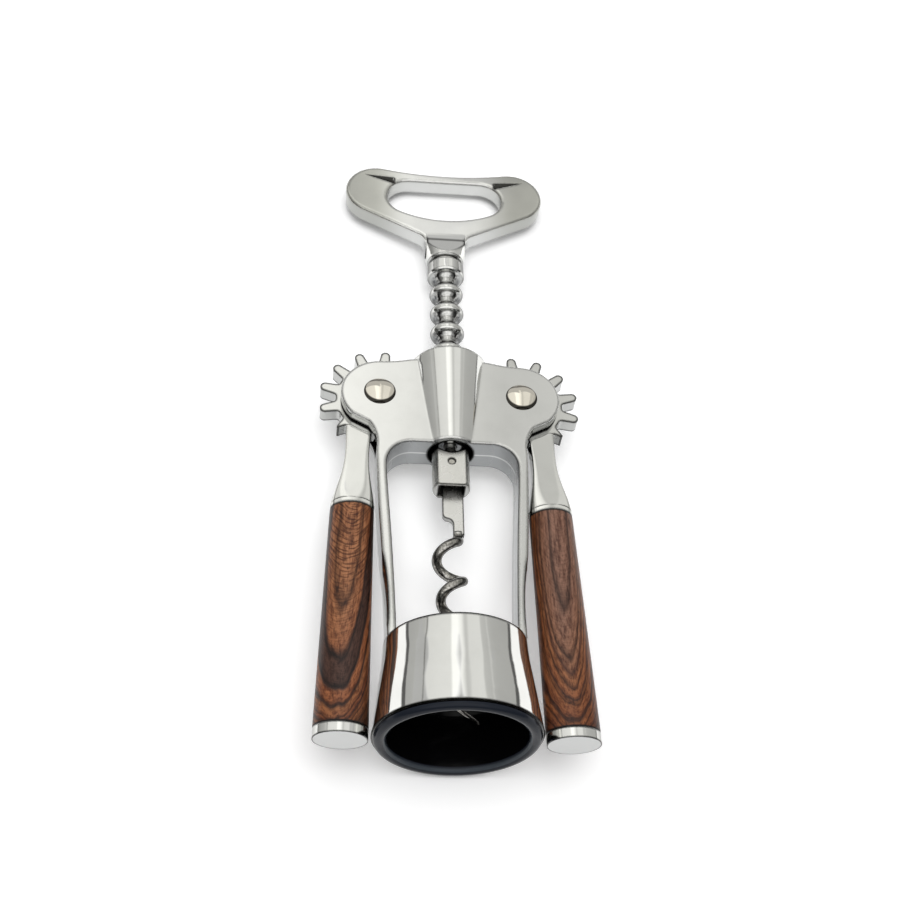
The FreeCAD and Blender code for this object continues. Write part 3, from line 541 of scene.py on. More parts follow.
@dataclass(frozen=True)
class RackChrome(PlatedMetal):
    """Chrome on the turned rack: bright on the rings, with mottled painted shade down in the grooves.

    Attributes:
        groove_radius: distance from the axis below which the grooves get painted shade.
        groove_depth: depth over which the painted shade sets in.
        mottle_mm: size of the mottling in the painted shade.
        paler_middle: distances beside the spindle over which the middle, paler with less painted shade, turns into full
            shade.
    """

    groove_radius: float = 4.7
    groove_depth: float = 1.2
    mottle_mm: float = 0.9
    paler_middle: Span = (0.5, 1.9)

    def colour(self, tree: Tree, place: Node) -> Node:
        """Give the chrome's colour with mottled painted shade in the grooves.

        Args:
            tree: the node tree.
            place: places in the tool's frame.

        Returns:
            The node with the colour.
        """
        # Painted shade: the grooves turn dark and mottled, paler in the middle.
        groove_mottle = add_node(tree, "TexNoise", {"Vector": place, "Scale": 1 / self.mottle_mm, "Detail": 3.0})
        depth = add_node(tree, "MapRange", {
            "Value": spindle_radius(tree, place), "From Min": self.groove_radius,
            "From Max": self.groove_radius - self.groove_depth})
        patch = add_node(tree, "MapRange", {"Value": groove_mottle, "From Min": 0.38, "From Max": 0.62, "To Min": 0.45})
        beside = add_node(tree, "MapRange", {
            "Value": beside_spindle(tree, place), "From Min": self.paler_middle[0], "From Max": self.paler_middle[1],
            "To Min": 0.3})
        dark = add_node(tree, "Math", {
            0: add_node(tree, "Math", {0: depth, 1: patch}, operation="MULTIPLY"), 1: beside}, operation="MULTIPLY")
        return add_node(tree, "MixRGB", {
            "Fac": dark, "Color1": super().colour(tree, place), "Color2": linear("1c1b19")})


@dataclass(frozen=True)
class LeverChrome(PlatedMetal):
    """Chrome on a lever: the gear and its teeth are only tumbled, so they stay a little duller than the shank.

    Attributes:
        gear_y: height along the tool above which the gear starts.
        tumbled: how much rougher the gear is.
        flatness: how much flatter the shank's front mirrors than it is, for its hollow is buffed out.
    """

    gear_y: float = 84.0
    tumbled: float = 0.08
    flatness: float = 0.75

    def rounded(self, tree: Tree) -> Node:
        """Give the rounded normal, on the front turned part of the way to straight ahead."""
        front = add_node(tree, "MapRange", {
            "Value": looks_along(tree, "Z"), "From Min": 0.45, "From Max": 0.75, "To Max": self.flatness})
        return add_node(tree, "MixRGB", {"Fac": front, "Color1": super().rounded(tree), "Color2": ahead()})

    def gloss(self, tree: Tree, place: Node) -> Node:
        """Give the roughness, higher on the gear."""
        gear = add_node(tree, "MapRange", {
            "Value": along_spindle(tree, place), "From Min": self.gear_y, "From Max": self.gear_y + 5.0,
            "To Max": self.tumbled})
        return add_node(tree, "Math", {0: gear, 1: super().gloss(tree, place)}, operation="ADD")


@dataclass(frozen=True)
class CapChrome(PlatedMetal):
    """Chrome on an end cap: its band is a mirror, its flat end is brushed and looks pale grey.

    Attributes:
        end_roughness: how much rougher the flat end is.
        end_reflection_tint: sRGB colour of the flat end, a painted reflection of the table it faces.
    """

    end_roughness: float = 0.35
    # the flat end's tint is a painted reflection
    end_reflection_tint: str = "eeefee"

    def end(self, tree: Tree) -> Node:
        """Give 1 on the flat end, which looks down the tool, and 0 elsewhere."""
        return add_node(tree, "MapRange", {"Value": looks_along(tree, "Y"), "From Min": -0.96, "From Max": -0.985})

    def colour(self, tree: Tree, place: Node) -> Node:
        """Give the chrome's colour, with a tint of its own on the flat end as painted reflection."""
        return add_node(tree, "MixRGB", {
            "Fac": self.end(tree), "Color1": super().colour(tree, place), "Color2": linear(self.end_reflection_tint)})

    def gloss(self, tree: Tree, place: Node) -> Node:
        """Give the roughness, higher on the flat end."""
        return add_node(tree, "Math", {
            0: self.end(tree), 1: self.end_roughness, 2: super().gloss(tree, place)}, operation="MULTIPLY_ADD")


@dataclass(frozen=True)
class WormSteel(PlatedMetal):
    """Steel of the worm: dark glossy wire, and a shank pressed flat and grey from the die.

    Attributes:
        shank_y: height along the tool where the wire turns into the shank.
        shank_blend: half the height over which it does.
        shank_tint: sRGB colour of the shank.
        shank_roughness: roughness of the shank.
        streak_mm: size of the streaks that drawing leaves on the wire.
    """

    shank_y: float = 57.3
    shank_blend: float = 0.3
    shank_tint: str = "dddcd7"
    shank_roughness: float = 0.26
    streak_mm: float = 0.8

    def shank(self, tree: Tree, place: Node) -> Node:
        """Give 1 on the shank and 0 on the wire."""
        return add_node(tree, "MapRange", {
            "Value": along_spindle(tree, place), "From Min": self.shank_y - self.shank_blend,
            "From Max": self.shank_y + self.shank_blend})

    def colour(self, tree: Tree, place: Node) -> Node:
        """Give the steel's colour, streaked by the drawing of the wire.

        Args:
            tree: the node tree.
            place: places in the tool's frame.

        Returns:
            The node with the colour.
        """
        streak = add_node(tree, "TexNoise", {
            "Vector": place, "Scale": 1 / self.streak_mm, "Detail": 3.0, "Distortion": 1.0})
        dark = add_node(tree, "MapRange", {"Value": streak, "From Min": 0.62, "From Max": 0.42, "To Max": 0.6})
        wire = add_node(tree, "MixRGB", {
            "Fac": dark, "Color1": super().colour(tree, place), "Color2": linear("3a3734")})
        return add_node(tree, "MixRGB", {
            "Fac": self.shank(tree, place), "Color1": wire, "Color2": linear(self.shank_tint)})

    def gloss(self, tree: Tree, place: Node) -> Node:
        """Give the roughness, higher on the shank."""
        return add_node(tree, "Math", {
            0: self.shank(tree, place), 1: self.shank_roughness - self.roughness, 2: super().gloss(tree, place)},
            operation="MULTIPLY_ADD")


# ---- plastic and wood --------------------------------------------------------------------------------
@dataclass(frozen=True)
class MouldedPlastic:
    """Glossy moulded plastic: blue-black on the flange, near black inside by painted shade, with a painted highlight
    round its mouth.

    Attributes:
        name: the material's name.
        tint: sRGB colour down inside, darkened as painted shade.
        flange_tint: sRGB colour of the flange.
        roughness: mean roughness.
        mouth_highlight_tint: sRGB colour of the painted highlight round the mouth.
        flange_y: heights along the tool that the flange lies between.
        mouth_radius: radii between which the painted highlight runs.
        swirl_mm: size of the swirls that moulding leaves in the gloss.
    """

    name: str
    tint: str
    flange_tint: str
    roughness: float
    mouth_highlight_tint: str = "464c52"
    flange_y: Span = (-5.0, 0.4)
    mouth_radius: Span = (17.0, 17.45)
    swirl_mm: float = 6.0

    def build(self) -> Material:
        """Build the material: near-black plastic with a moulding swirl in its gloss.

        Returns:
            The material.
        """
        material, tree, output = blank_material(self.name)
        place = tool_place(tree)
        swirl = add_node(tree, "TexNoise", {
            "Vector": place, "Scale": 1 / self.swirl_mm, "Detail": 3.0, "Distortion": 1.5})
        rough = add_node(tree, "MapRange", {
            "Value": swirl, "From Min": NOISE[0], "From Max": NOISE[1], "To Min": self.roughness * 0.8,
            "To Max": self.roughness * 1.2})
        # Painted shade: down inside, the plastic is blacker than on the flange.
        flange = between(tree, along_spindle(tree, place), *self.flange_y)
        tint = add_node(tree, "MixRGB", {
            "Fac": flange, "Color1": linear(self.tint), "Color2": linear(self.flange_tint)})
        # A painted highlight runs round the mouth's inner edge.
        line = add_node(tree, "Math", {
            0: between(tree, spindle_radius(tree, place), *self.mouth_radius), 1: flange}, operation="MULTIPLY")
        mouth_highlighted = add_node(tree, "MixRGB", {"Fac": line, "Color1": tint, "Color2": linear(self.mouth_highlight_tint)})
        shader = add_node(tree, "BsdfPrincipled", {
            "Base Color": mouth_highlighted, "Roughness": rough, "IOR": 1.45, "Specular IOR Level": 0.15})
        tree.links.new(shader.outputs["BSDF"], output.inputs["Surface"])
        return material


class Side(Enum):
    """The two levers, with the sign of their x."""

    LEFT = -1
    RIGHT = 1

    @property
    def word(self) -> str:
        """The side's name as the nodes spell it."""
        return self.name.lower()


@dataclass(frozen=True)
class Rosewood:
    """Oiled rosewood, flat-sawn: growth rings run along the grip and show as nested arches near its end.

    Attributes:
        name: the material's name.
        side: the lever that the grip is on.
        heart: (place across the grip at its lower end, drift per millimetre of height) of the arches' middle.
        bow: how round the arches are.
        run_out: how many millimetres of wood the cut crosses at the lower end, where the arches close.
        run_out_mm: height over which that dies away.
        ring_mm: mean width of one growth ring.
        bands: (ring, sRGB colour) from the middle of the arches outwards.
        ripple: how strong the cross ripple is near the upper end.
        warp_mm: size of the waves that the rings run in.
        warp_by: how far those waves move the rings, across, along and in depth.
        first_ring: how far through its first ring the middle starts.
        ripple_mm: height and width of one ripple.
        fibre_mm: width, length and depth of one fibre, drawn coarser than they are so that they show.
        pore_mm: width of one open pore.
    """

    name: str
    side: Side
    heart: Span
    bow: float
    run_out: float
    run_out_mm: float
    ring_mm: float
    bands: tuple[tuple[float, str], ...]
    ripple: float
    warp_mm: float = 5.5
    warp_by: tuple[float, float, float] = (2.0, 5.0, 2.0)
    first_ring: float = 0.4
    ripple_mm: Span = (0.6, 2.6)
    fibre_mm: tuple[float, float, float] = (0.3, 5.0, 0.9)
    pore_mm: float = 0.38

    def place(self, tree: Tree) -> Node:
        """Give places on the grip: x across it, y up from its lower end, z out of the front.

        Args:
            tree: the node tree.

        Returns:
            The node whose output is the place.
        """
        sign = self.side.value
        lean = -sign * LEVER_LEAN
        foot = Vector((sign * PIVOT[0], PIVOT[1], 0.0))
        foot += Matrix.Rotation(-lean, 3, "Z") @ Vector((sign * GRIP_BESIDE_PIVOT, -GRIP_END, 0.0))
        return tool_place(tree, tuple(foot), lean)

    def growth(self, tree: Tree, place: Node) -> tuple[Node, Node]:
        """Give how deep in the log a place lies, and how far beside the arches' middle.

        Args:
            tree: the node tree.
            place: places on the grip.

        Returns:
            The node with the depth through the rings and the node with the distance beside the middle, in
            millimetres.
        """
        slow = add_node(tree, "Mapping", {"Vector": place, "Scale": (1.0, 0.3, 1.0)})
        warp = add_node(tree, "TexNoise", {"Vector": slow, "Scale": 1 / self.warp_mm, "Detail": 2.0}).outputs["Color"]
        shift = add_node(tree, "VectorMath", {0: warp, 1: (0.5, 0.5, 0.5)}, operation="SUBTRACT")
        axes = add_node(tree, "SeparateXYZ", {"Vector": add_node(
            tree, "VectorMath", {0: shift, 1: self.warp_by, 2: place}, operation="MULTIPLY_ADD")})
        heart = add_node(tree, "Math", {
            0: axes.outputs["Y"], 1: self.heart[1], 2: self.heart[0]}, operation="MULTIPLY_ADD")
        beside = add_node(tree, "Math", {0: axes.outputs["X"], 1: heart}, operation="SUBTRACT")
        square = add_node(tree, "Math", {0: beside, 1: beside}, operation="MULTIPLY")
        fall = add_node(tree, "Math", {0: axes.outputs["Y"], 1: -1 / self.run_out_mm}, operation="MULTIPLY")
        run = add_node(tree, "Math", {0: fall}, operation="EXPONENT")
        depth = add_node(tree, "Math", {0: axes.outputs["Z"], 1: -0.3}, operation="MULTIPLY")
        deep = add_node(tree, "Math", {0: square, 1: self.bow, 2: depth}, operation="MULTIPLY_ADD")
        return add_node(tree, "Math", {0: run, 1: self.run_out, 2: deep}, operation="MULTIPLY_ADD"), beside

    def figure(self, tree: Tree, deep: Node) -> Node:
        """Give the wood's colour from its rings: broad dark and orange bands with thin dark late wood.

        Args:
            tree: the node tree.
            deep: the node with the depth through the rings.

        Returns:
            The node with the colour.
        """
        ring = add_node(tree, "Math", {0: deep, 1: 1 / self.ring_mm, 2: self.first_ring}, operation="MULTIPLY_ADD")
        count = self.bands[-1][0]
        share = add_node(tree, "Math", {0: ring, 1: 1 / count}, operation="MULTIPLY")
        body = add_node(tree, "ValToRGB", {"Fac": share}, tuple(
            (place / count, linear(code)) for place, code in self.bands))
        late = add_node(tree, "ValToRGB", {"Fac": add_node(tree, "Math", {0: ring}, operation="FRACT")}, (
            (0.0, linear("6a5850")), (0.14, WHITE), (0.74, WHITE), (1.0, linear("4a3a32"))))
        return add_node(tree, "MixRGB", {"Fac": 0.8, "Color1": body, "Color2": late}, blend_type="MULTIPLY")

    def rippled(self, tree: Tree, place: Node, deep: Node, beside: Node) -> Node:
        """Cross the rings with ripples, which catch the light as short pale dashes near the upper end.

        Args:
            tree: the node tree.
            place: places on the grip.
            deep: the node with the depth through the rings.
            beside: the node with the distance beside the arches' middle.

        Returns:
            The node with the colour.
        """
        height = along_spindle(tree, place)
        rise = add_node(tree, "Math", {0: deep, 1: -3.0, 2: height}, operation="MULTIPLY_ADD")
        wave_place = add_node(tree, "CombineXYZ", {
            "X": add_node(tree, "Math", {0: rise, 1: 1 / self.ripple_mm[0]}, operation="MULTIPLY"),
            "Y": add_node(tree, "Math", {0: beside, 1: 1 / self.ripple_mm[1]}, operation="MULTIPLY")})
        wave = add_node(tree, "TexNoise", {"Vector": wave_place, "Scale": 1.0, "Detail": 2.0}, noise_dimensions="2D")
        flame = add_node(tree, "ValToRGB", {"Fac": wave}, ((0.38, linear("7a6459")), (0.54, WHITE)))
        upper = add_node(tree, "MapRange", {
            "Value": height, "From Min": 0.25 * GRIP_LENGTH, "From Max": 0.75 * GRIP_LENGTH, "To Min": 0.2,
            "To Max": self.ripple})
        return add_node(tree, "MixRGB", {
            "Fac": upper, "Color1": self.figure(tree, deep), "Color2": flame}, blend_type="MULTIPLY")

    def build(self) -> Material:
        """Build the material from ring, ripple, fibre and pore patterns in the grip's own place.

        Returns:
            The material.
        """
        material, tree, output = blank_material(self.name)
        place = self.place(tree)
        axes = add_node(tree, "SeparateXYZ", {"Vector": place})
        deep, beside = self.growth(tree, place)

        # Fibres are fine dark streaks that follow the rings.
        width, length, thickness = self.fibre_mm
        along = add_node(tree, "CombineXYZ", {
            "X": add_node(tree, "Math", {0: deep, 1: 1 / width}, operation="MULTIPLY"),
            "Y": add_node(tree, "Math", {0: axes.outputs["Y"], 1: 1 / length}, operation="MULTIPLY"),
            "Z": add_node(tree, "Math", {0: axes.outputs["X"], 1: 1 / thickness}, operation="MULTIPLY")})
        fibre = add_node(tree, "TexNoise", {"Vector": along, "Scale": 1.0, "Detail": 3.0, "Roughness": 0.65})
        streak = add_node(tree, "ValToRGB", {"Fac": fibre}, ((0.36, linear("86695c")), (0.58, WHITE)))
        wood = add_node(tree, "MixRGB", {
            "Fac": 0.8, "Color1": self.rippled(tree, place, deep, beside), "Color2": streak}, blend_type="MULTIPLY")

        # Open pores are short dark dashes along the grain.
        pore_place = add_node(tree, "Mapping", {"Vector": place, "Scale": (1.0, 0.22, 1.0)})
        pores = add_node(tree, "TexNoise", {"Vector": pore_place, "Scale": 1 / self.pore_mm, "Detail": 1.0})
        pore = add_node(tree, "ValToRGB", {"Fac": pores}, ((0.31, linear("20120e")), (0.37, WHITE)))
        pored = add_node(tree, "MixRGB", {"Fac": 0.5, "Color1": wood, "Color2": pore}, blend_type="MULTIPLY")

        # Painted shade: a dark band at each end of the wood stands for the shadowed gap at ferrule and cap.
        clear_of_end_shade = between(tree, axes.outputs["Y"], 0.5, GRIP_LENGTH - 0.45, 0.35)
        colour = add_node(tree, "MixRGB", {"Fac": clear_of_end_shade, "Color1": linear("0a0504"), "Color2": pored})
        bump = add_node(tree, "Bump", {"Height": fibre, "Distance": 0.012 * MM})
        shader = add_node(tree, "BsdfPrincipled", {
            "Base Color": colour, "Roughness": 0.38, "IOR": 1.5, "Specular IOR Level": 0.3, "Normal": bump})
        tree.links.new(shader.outputs["BSDF"], output.inputs["Surface"])
        return material


# Ring by ring, the left grip has broad dark bands near its middle, the right one narrow ones further out.
LEFT_BANDS = ((0.0, "a8714c"), (0.7, "97603f"), (0.95, "4e352b"), (2.1, "452e26"), (2.3, "9a5f3c"),
              (2.9, "8a5232"), (3.1, "3c251c"), (3.35, "96603c"), (4.2, "7d482d"), (4.5, "3a231b"),
              (4.8, "8a5534"), (6.0, "54331f"), (8.0, "3a241a"))
RIGHT_BANDS = ((0.0, "8a6553"), (1.2, "8f6248"), (1.45, "4c2c20"), (1.7, "98623f"), (2.4, "8c5534"),
               (2.65, "3f241a"), (2.9, "945c38"), (3.9, "7f4a2d"), (4.15, "3c2219"), (4.5, "8a5331"),
               (6.0, "6a3c26"), (8.0, "3d251a"))


def dress(node: str, material: Material) -> None:
    """Give a CAD node its finish.

    Args:
        node: the node's name.
        material: the finish.
    """
    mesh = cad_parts[node].data
    mesh.materials.clear()
    mesh.materials.append(material)
    LOG.info("dressed %s with %s", node, material.name)


# ---- sub-assemblies ----------------------------------------------------------------------------------
@dataclass
class FrameCasting:
    """Cheeks, arch, legs, sleeve and bell, with the two rivets and the plastic liner."""

    chrome: Material
    rivet_metal: Material
    plastic: Material

    def build(self) -> None:
        """Dress the casting, its liner and its rivets."""
        dress("frame_casting", self.chrome)
        dress("pivot_rivets", self.rivet_metal)
        dress("bell_liner", self.plastic)


@dataclass
class SpindleGroup:
    """Ringed rack, handle, worm carrier and worm."""

    handle_chrome: Material
    rack_chrome: Material
    nickel: Material
    pin_metal: Material
    wire: Material

    def build(self) -> None:
        """Dress the rack and all that turns in it."""
        dress("rack_sleeve", self.rack_chrome)
        dress("handle_head", self.handle_chrome)
        dress("worm_carrier", self.nickel)
        dress("carrier_pin", self.pin_metal)
        dress("spindle_rod", self.nickel)
        dress("thrust_washer", self.wire)
        dress("worm", self.wire)


@dataclass
class LeverArm:
    """One geared lever with its wooden grip, end cap and tie rod."""

    side: Side
    chrome: Material
    wood: Material
    cap: Material
    steel: Material

    def build(self) -> None:
        """Dress the lever's pieces."""
        word = self.side.word
        dress(word + "_lever", self.chrome)
        dress(word + "_grip", self.wood)
        dress(word + "_end_cap", self.cap)
        dress(word + "_tie_rod", self.steel)


# ---- studio ------------------------------------------------------------------------------------------
@dataclass(frozen=True)
class Studio:
    """White table, a broad lamp overhead and the camera.

    Attributes:
        camera_place: the camera's place in millimetres.
        camera_turn: its turn in degrees.
        lens: focal length in millimetres on a 36 mm wide sensor.
        table_half: half the table's width in millimetres.
        paper: how much light the table gives back to the tool.
        table_white: how much light the table gives back where it is seen.
        table_glow: how much it is lifted there, so that it stays white with a soft shadow.
        contact: how near the table a piece must be to darken it.
        contact_light: (darkest, open) share of open sky that the contact shadow runs between, and its floor.
        sheet: distances beside the tool at which the white sheet starts to end and has ended, as polished
            metal mirrors it.
        lamp: brightness of the sky low down and straight overhead, for all but polished metal.
        lamp_z: upward part of the direction at which the lamp starts.
        front_wall: brightness of the room on the camera's side, as polished metal mirrors it.
        window: brightness of the window there.
        lamps: (sideways direction, brightness) of what polished metal mirrors from left to right: wall, soft
            box, strip lamp, soft box, wall.
        edges: sideways directions of the soft boxes' dark frames.
        edge_half: half the width of such a frame.
        edge_level: brightness of the frames.
        ceiling: (height, brightness) that the room behind the tool is held under.
        ceiling_tilt: how much lower the lamps reach to the sides.
        low_lamp: directions, sideways and up, between which a small lamp stands behind the tool.
    """

    camera_place: tuple[float, float, float] = (-36.43, -201.58, 336.55)
    camera_turn: tuple[float, float, float] = (30.668, -5.9895, -0.7274)
    lens: float = 56.406
    table_half: float = 4000.0
    paper: float = 0.62
    table_white: float = 0.9
    table_glow: float = 0.26
    contact: float = 4.5
    contact_light: tuple[float, float, float] = (0.15, 0.6, 0.3)
    sheet: Span = (260.0, 340.0)
    lamp: Span = (0.3, 4.3)
    lamp_z: float = 0.82
    front_wall: float = 0.60
    window: float = 1.25
    lamps: tuple[Span, ...] = (
        (-1.0, 0.15), (-0.87, 0.42), (-0.75, 0.50), (-0.725, 0.62), (-0.70, 0.52), (-0.66, 0.56), (-0.61, 0.82),
        (-0.45, 0.86), (-0.19, 0.90), (-0.15, 1.25), (-0.04, 1.25), (0.06, 1.0), (0.09, 0.84), (0.13, 0.64),
        (0.17, 0.68), (0.21, 0.82), (0.44, 0.84), (0.47, 0.60), (0.56, 0.56), (0.58, 0.68), (0.60, 0.54),
        (0.66, 0.50), (0.86, 0.46))
    edges: tuple[float, ...] = (-0.64,)
    edge_half: float = 0.012
    edge_level: float = 0.08
    ceiling: tuple[Span, ...] = (
        (0.0, 0.45), (0.10, 0.45), (0.16, 0.14), (0.26, 0.16), (0.38, 0.55), (0.60, 0.52), (0.67, 0.52), (0.71, 1.25))
    ceiling_tilt: float = 0.45
    low_lamp: tuple[Span, Span] = ((0.045, 0.055), (0.56, 0.64))

    def add_camera(self) -> None:
        """Set up the camera that looks down on the tool from the bell end."""
        data = bpy.data.cameras.new("camera")
        data.sensor_width = 36.0
        data.lens = self.lens
        data.clip_start = 0.01
        camera = bpy.data.objects.new("camera", data)
        camera.location = Vector(self.camera_place) * MM
        camera.rotation_euler = Euler([math.radians(a) for a in self.camera_turn])
        bpy.context.scene.collection.objects.link(camera)
        bpy.context.scene.camera = camera

    def add_table(self) -> None:
        """Lay a large white table under the tool."""
        shape = bmesh.new()
        bmesh.ops.create_grid(shape, x_segments=1, y_segments=1, size=self.table_half * MM)
        mesh = bpy.data.meshes.new("table")
        shape.to_mesh(mesh)
        shape.free()
        table = bpy.data.objects.new("table", mesh)
        bpy.context.scene.collection.objects.link(table)
        mesh.materials.append(self.white_paper())

    def white_paper(self) -> Material:
        """Make the table's white, which polished metal sees end some way off and the camera doesn't.

        Returns:
            The table's material.
        """
        material, tree, output = blank_material("white_paper")
        path = add_node(tree, "LightPath")
        paper = add_node(tree, "BsdfDiffuse", {"Color": (self.paper,) * 3 + (1.0,)})
        place = add_node(tree, "VectorMath", {
            0: add_node(tree, "TexCoord").outputs["Object"], 1: (1.0, 0.55, 0.0)}, operation="MULTIPLY")
        away = add_node(tree, "VectorMath", {0: place}, operation="LENGTH").outputs["Value"]
        ended = add_node(tree, "MapRange", {
            "Value": away, "From Min": self.sheet[0] * MM, "From Max": self.sheet[1] * MM, "To Max": 0.9})
        dark = add_node(tree, "Math", {0: ended, 1: path.outputs["Is Glossy Ray"]}, operation="MULTIPLY")
        # Close under the tool hardly any light comes in, so the white sinks to a dark contact shadow.
        open_sky = add_node(tree, "AmbientOcclusion", {"Distance": self.contact * MM}, samples=8).outputs["AO"]
        darkest, fully_open, floor = self.contact_light
        lit = add_node(tree, "MapRange", {
            "Value": open_sky, "From Min": darkest, "From Max": fully_open, "To Min": floor})
        white = add_node(tree, "AddShader", {
            0: add_node(tree, "BsdfDiffuse", {"Color": add_node(
                tree, "MixRGB", {"Fac": lit, "Color1": linear("000000"), "Color2": (self.table_white,) * 3 + (1.0,)})}),
            1: add_node(tree, "Emission", {"Color": WHITE, "Strength": add_node(
                tree, "Math", {0: lit, 1: self.table_glow}, operation="MULTIPLY")})})
        room = add_node(tree, "BsdfDiffuse", {"Color": linear("1c1b19")})
        table = add_node(tree, "MixShader", {0: dark, 1: white, 2: room})
        mirrors = add_node(tree, "Math", {
            0: path.outputs["Is Glossy Ray"], 1: path.outputs["Is Transmission Ray"]}, operation="MAXIMUM")
        seen = add_node(tree, "Math", {0: path.outputs["Is Camera Ray"], 1: mirrors}, operation="MAXIMUM")
        mixed = add_node(tree, "MixShader", {0: seen, 1: paper, 2: table})
        tree.links.new(mixed.outputs["Shader"], output.inputs["Surface"])
        return material

    def lamp_stops(self) -> tuple[tuple[float, Colour], ...]:
        """Give the lamps and the soft boxes' dark frames as colour stops, the brightest as white.

        Returns:
            Each stop's position, from 0 at the left to 1 at the right, and its colour.
        """
        brightest = max(level for _, level in self.lamps)
        levels = list(self.lamps)
        for edge in self.edges:
            before = max(pair for pair in self.lamps if pair[0] < edge)
            after = min(pair for pair in self.lamps if pair[0] > edge)
            share = (edge - before[0]) / (after[0] - before[0])
            level = before[1] + share * (after[1] - before[1])
            levels += [(edge - self.edge_half, level), (edge, self.edge_level), (edge + self.edge_half, level)]
        return tuple(((place + 1.0) / 2.0, (level / brightest,) * 2 + (level / brightest * 0.98, 1.0))
                     for place, level in sorted(levels))

    def room_behind(self, tree: Tree, way: Node) -> Node:
        """Give the lamps behind and above the tool, as polished metal mirrors them.

        Args:
            tree: the world's node tree.
            way: the node with the ray's direction.

        Returns:
            The node with the colour.
        """
        brightest = max(level for _, level in self.lamps)
        sideways = add_node(tree, "MapRange", {"Value": way.outputs["X"], "From Min": -1.0, "From Max": 1.0})
        lamps = add_node(tree, "ValToRGB", {"Fac": sideways}, self.lamp_stops())
        # To the sides the lamps reach lower, so the limit is looked up at a height that grows sideways.
        side = add_node(tree, "Math", {0: way.outputs["X"]}, operation="ABSOLUTE")
        reach = add_node(tree, "Math", {0: side, 1: self.ceiling_tilt, 2: way.outputs["Z"]}, operation="MULTIPLY_ADD")
        limit = add_node(tree, "ValToRGB", {"Fac": reach}, tuple(
            (height, (level / brightest,) * 3 + (1.0,)) for height, level in self.ceiling))
        held = add_node(tree, "MixRGB", {"Fac": 1.0, "Color1": lamps, "Color2": limit}, blend_type="DARKEN")
        lit = add_node(tree, "VectorMath", {0: held, 1: (brightest,) * 3}, operation="MULTIPLY")
        across, up = self.low_lamp
        low_lamp = add_node(tree, "Math", {
            0: between(tree, way.outputs["X"], *across, 0.045), 1: between(tree, way.outputs["Z"], *up, 0.04)},
            operation="MULTIPLY")
        return add_node(tree, "MixRGB", {"Fac": low_lamp, "Color1": lit, "Color2": linear("f2f2f0")})

    def mirrored_room(self, tree: Tree, way: Node) -> Node:
        """Give the whole room as polished metal mirrors it: lamps behind, a pale wall and window in front.

        Args:
            tree: the world's node tree.
            way: the node with the ray's direction.

        Returns:
            The node whose output is the room's colour.
        """
        beside = add_node(tree, "Math", {0: way.outputs["X"], 1: 0.08}, operation="ADD")
        pane = add_node(tree, "Math", {
            0: between(tree, beside, -0.55, 0.55, 0.12), 1: between(tree, way.outputs["Z"], 0.60, 2.0, 0.1)},
            operation="MULTIPLY")
        wall = add_node(tree, "MapRange", {"Value": pane, "To Min": self.front_wall, "To Max": self.window})
        low = add_node(tree, "MapRange", {
            "Value": way.outputs["Z"], "From Min": 0.22, "From Max": 0.55, "To Min": 0.08})
        front = add_node(tree, "Math", {0: wall, 1: low}, operation="MULTIPLY")
        towards = add_node(tree, "MapRange", {"Value": way.outputs["Y"], "From Min": 0.02, "From Max": -0.10})
        room = add_node(tree, "MixRGB", {"Fac": towards, "Color1": self.room_behind(tree, way), "Color2": front})
        # A dark beam crosses the room straight above, between its two halves.
        beam = between(tree, way.outputs["Y"], -0.055, -0.025, 0.035)
        return add_node(tree, "MixRGB", {"Fac": beam, "Color1": room, "Color2": linear("4a463e")})

    def add_sky(self) -> None:
        """Light the scene from overhead, and let polished metal see soft boxes, walls and a strip lamp."""
        world = bpy.data.worlds.new("studio")
        world.use_nodes = True
        bpy.context.scene.world = world
        tree = world.node_tree
        tree.nodes.clear()
        way = add_node(tree, "SeparateXYZ", {"Vector": add_node(tree, "TexCoord").outputs["Generated"]})
        mirror = add_node(tree, "Background", {"Color": self.mirrored_room(tree, way)})
        white = add_node(tree, "Background", {"Color": WHITE})
        overhead = add_node(tree, "MapRange", {
            "Value": way.outputs["Z"], "From Min": self.lamp_z, "To Min": self.lamp[0], "To Max": self.lamp[1]},
            interpolation_type="SMOOTHSTEP")
        light = add_node(tree, "Background", {"Color": WHITE, "Strength": overhead})
        path = add_node(tree, "LightPath")
        seen = add_node(tree, "MixShader", {0: path.outputs["Is Camera Ray"], 1: light, 2: white})
        shiny = add_node(tree, "MixShader", {0: path.outputs["Is Glossy Ray"], 1: seen, 2: mirror})
        output = add_node(tree, "OutputWorld", {"Surface": shiny})
        output.is_active_output = True

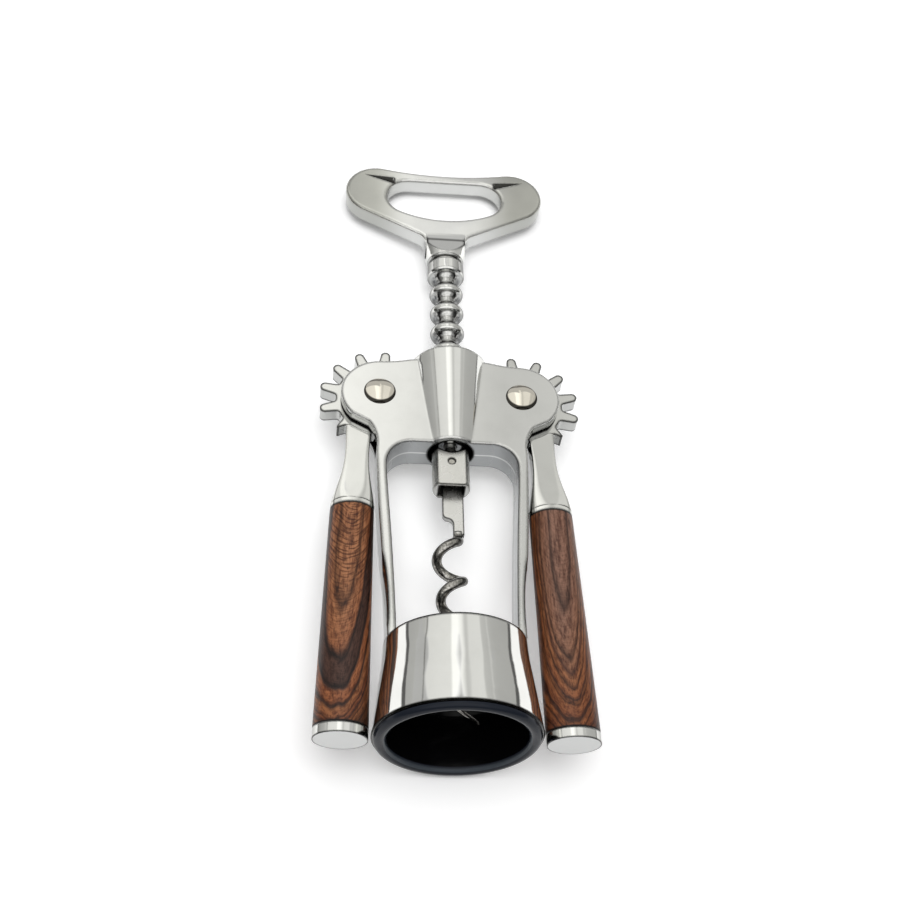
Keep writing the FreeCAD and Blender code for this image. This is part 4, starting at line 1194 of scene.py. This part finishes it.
    def build(self) -> None:
        """Set up camera, table and sky."""
        bpy.context.scene.view_settings.view_transform = "Standard"
        self.add_camera()
        self.add_table()
        self.add_sky()


def main() -> None:
    """Build the finishes, then each sub-assembly in order, then the studio."""
    logging.basicConfig(level=logging.INFO, format="%(name)s: %(message)s")
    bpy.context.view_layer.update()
    frame_chrome = FrameChrome("frame_chrome_plate", "e9e9e5", 0.03, edge_mm=0.8, edge_dark=1.0).build()
    handle_chrome = HandleChrome("handle_chrome_plate", "f8f8f4", 0.05, edge_mm=0.9, edge_dark=1.0).build()
    cap_chrome = CapChrome("cap_chrome_plate", "ebebe7", 0.03, wave_depth=0.01, rim_dark=0.5, side_shade=0.0).build()
    lever_chrome = LeverChrome("lever_chrome_plate", "e0e0db", 0.05, edge_mm=0.7).build()
    rack_chrome = RackChrome("rack_chrome_plate", "e8e8e4", 0.06, wave_mm=3.0, rim_dark=0.85).build()
    rivet_metal = RivetNickel("bright_nickel", "f0eadc", 0.06, wave_mm=2.5, wave_depth=0.03, edge_dark=0.95).build()
    nickel = PlatedMetal("satin_nickel", "dddcd6", 0.26, wear=0.06, grain_mm=0.35, grain_depth=0.02).build()
    pin_metal = PlatedMetal("pin_nickel", "b9b6ae", 0.2, grain_depth=0.02, edge_mm=0.3).build()
    wire = WormSteel("drawn_steel_wire", "c4c1ba", 0.12, wear=0.05, grain_mm=0.5, grain_depth=0.012,
                     rim_dark=0.6).build()
    plastic = MouldedPlastic("black_moulded_plastic", "050506", "20242c", 0.15).build()
    FrameCasting(frame_chrome, rivet_metal, plastic).build()
    SpindleGroup(handle_chrome, rack_chrome, nickel, pin_metal, wire).build()
    woods = {
        Side.LEFT: Rosewood("rosewood_left", Side.LEFT, (-2.9, 0.05), 0.06, 7.0, 14.0, 1.5, LEFT_BANDS, 0.8),
        Side.RIGHT: Rosewood("rosewood_right", Side.RIGHT, (-1.0, 0.033), 0.08, 7.5, 15.0, 1.4, RIGHT_BANDS, 0.25),
    }
    for side, wood in woods.items():
        LeverArm(side, lever_chrome, wood.build(), cap_chrome, nickel).build()
    Studio().build()


if __name__ == "__main__":
    main()
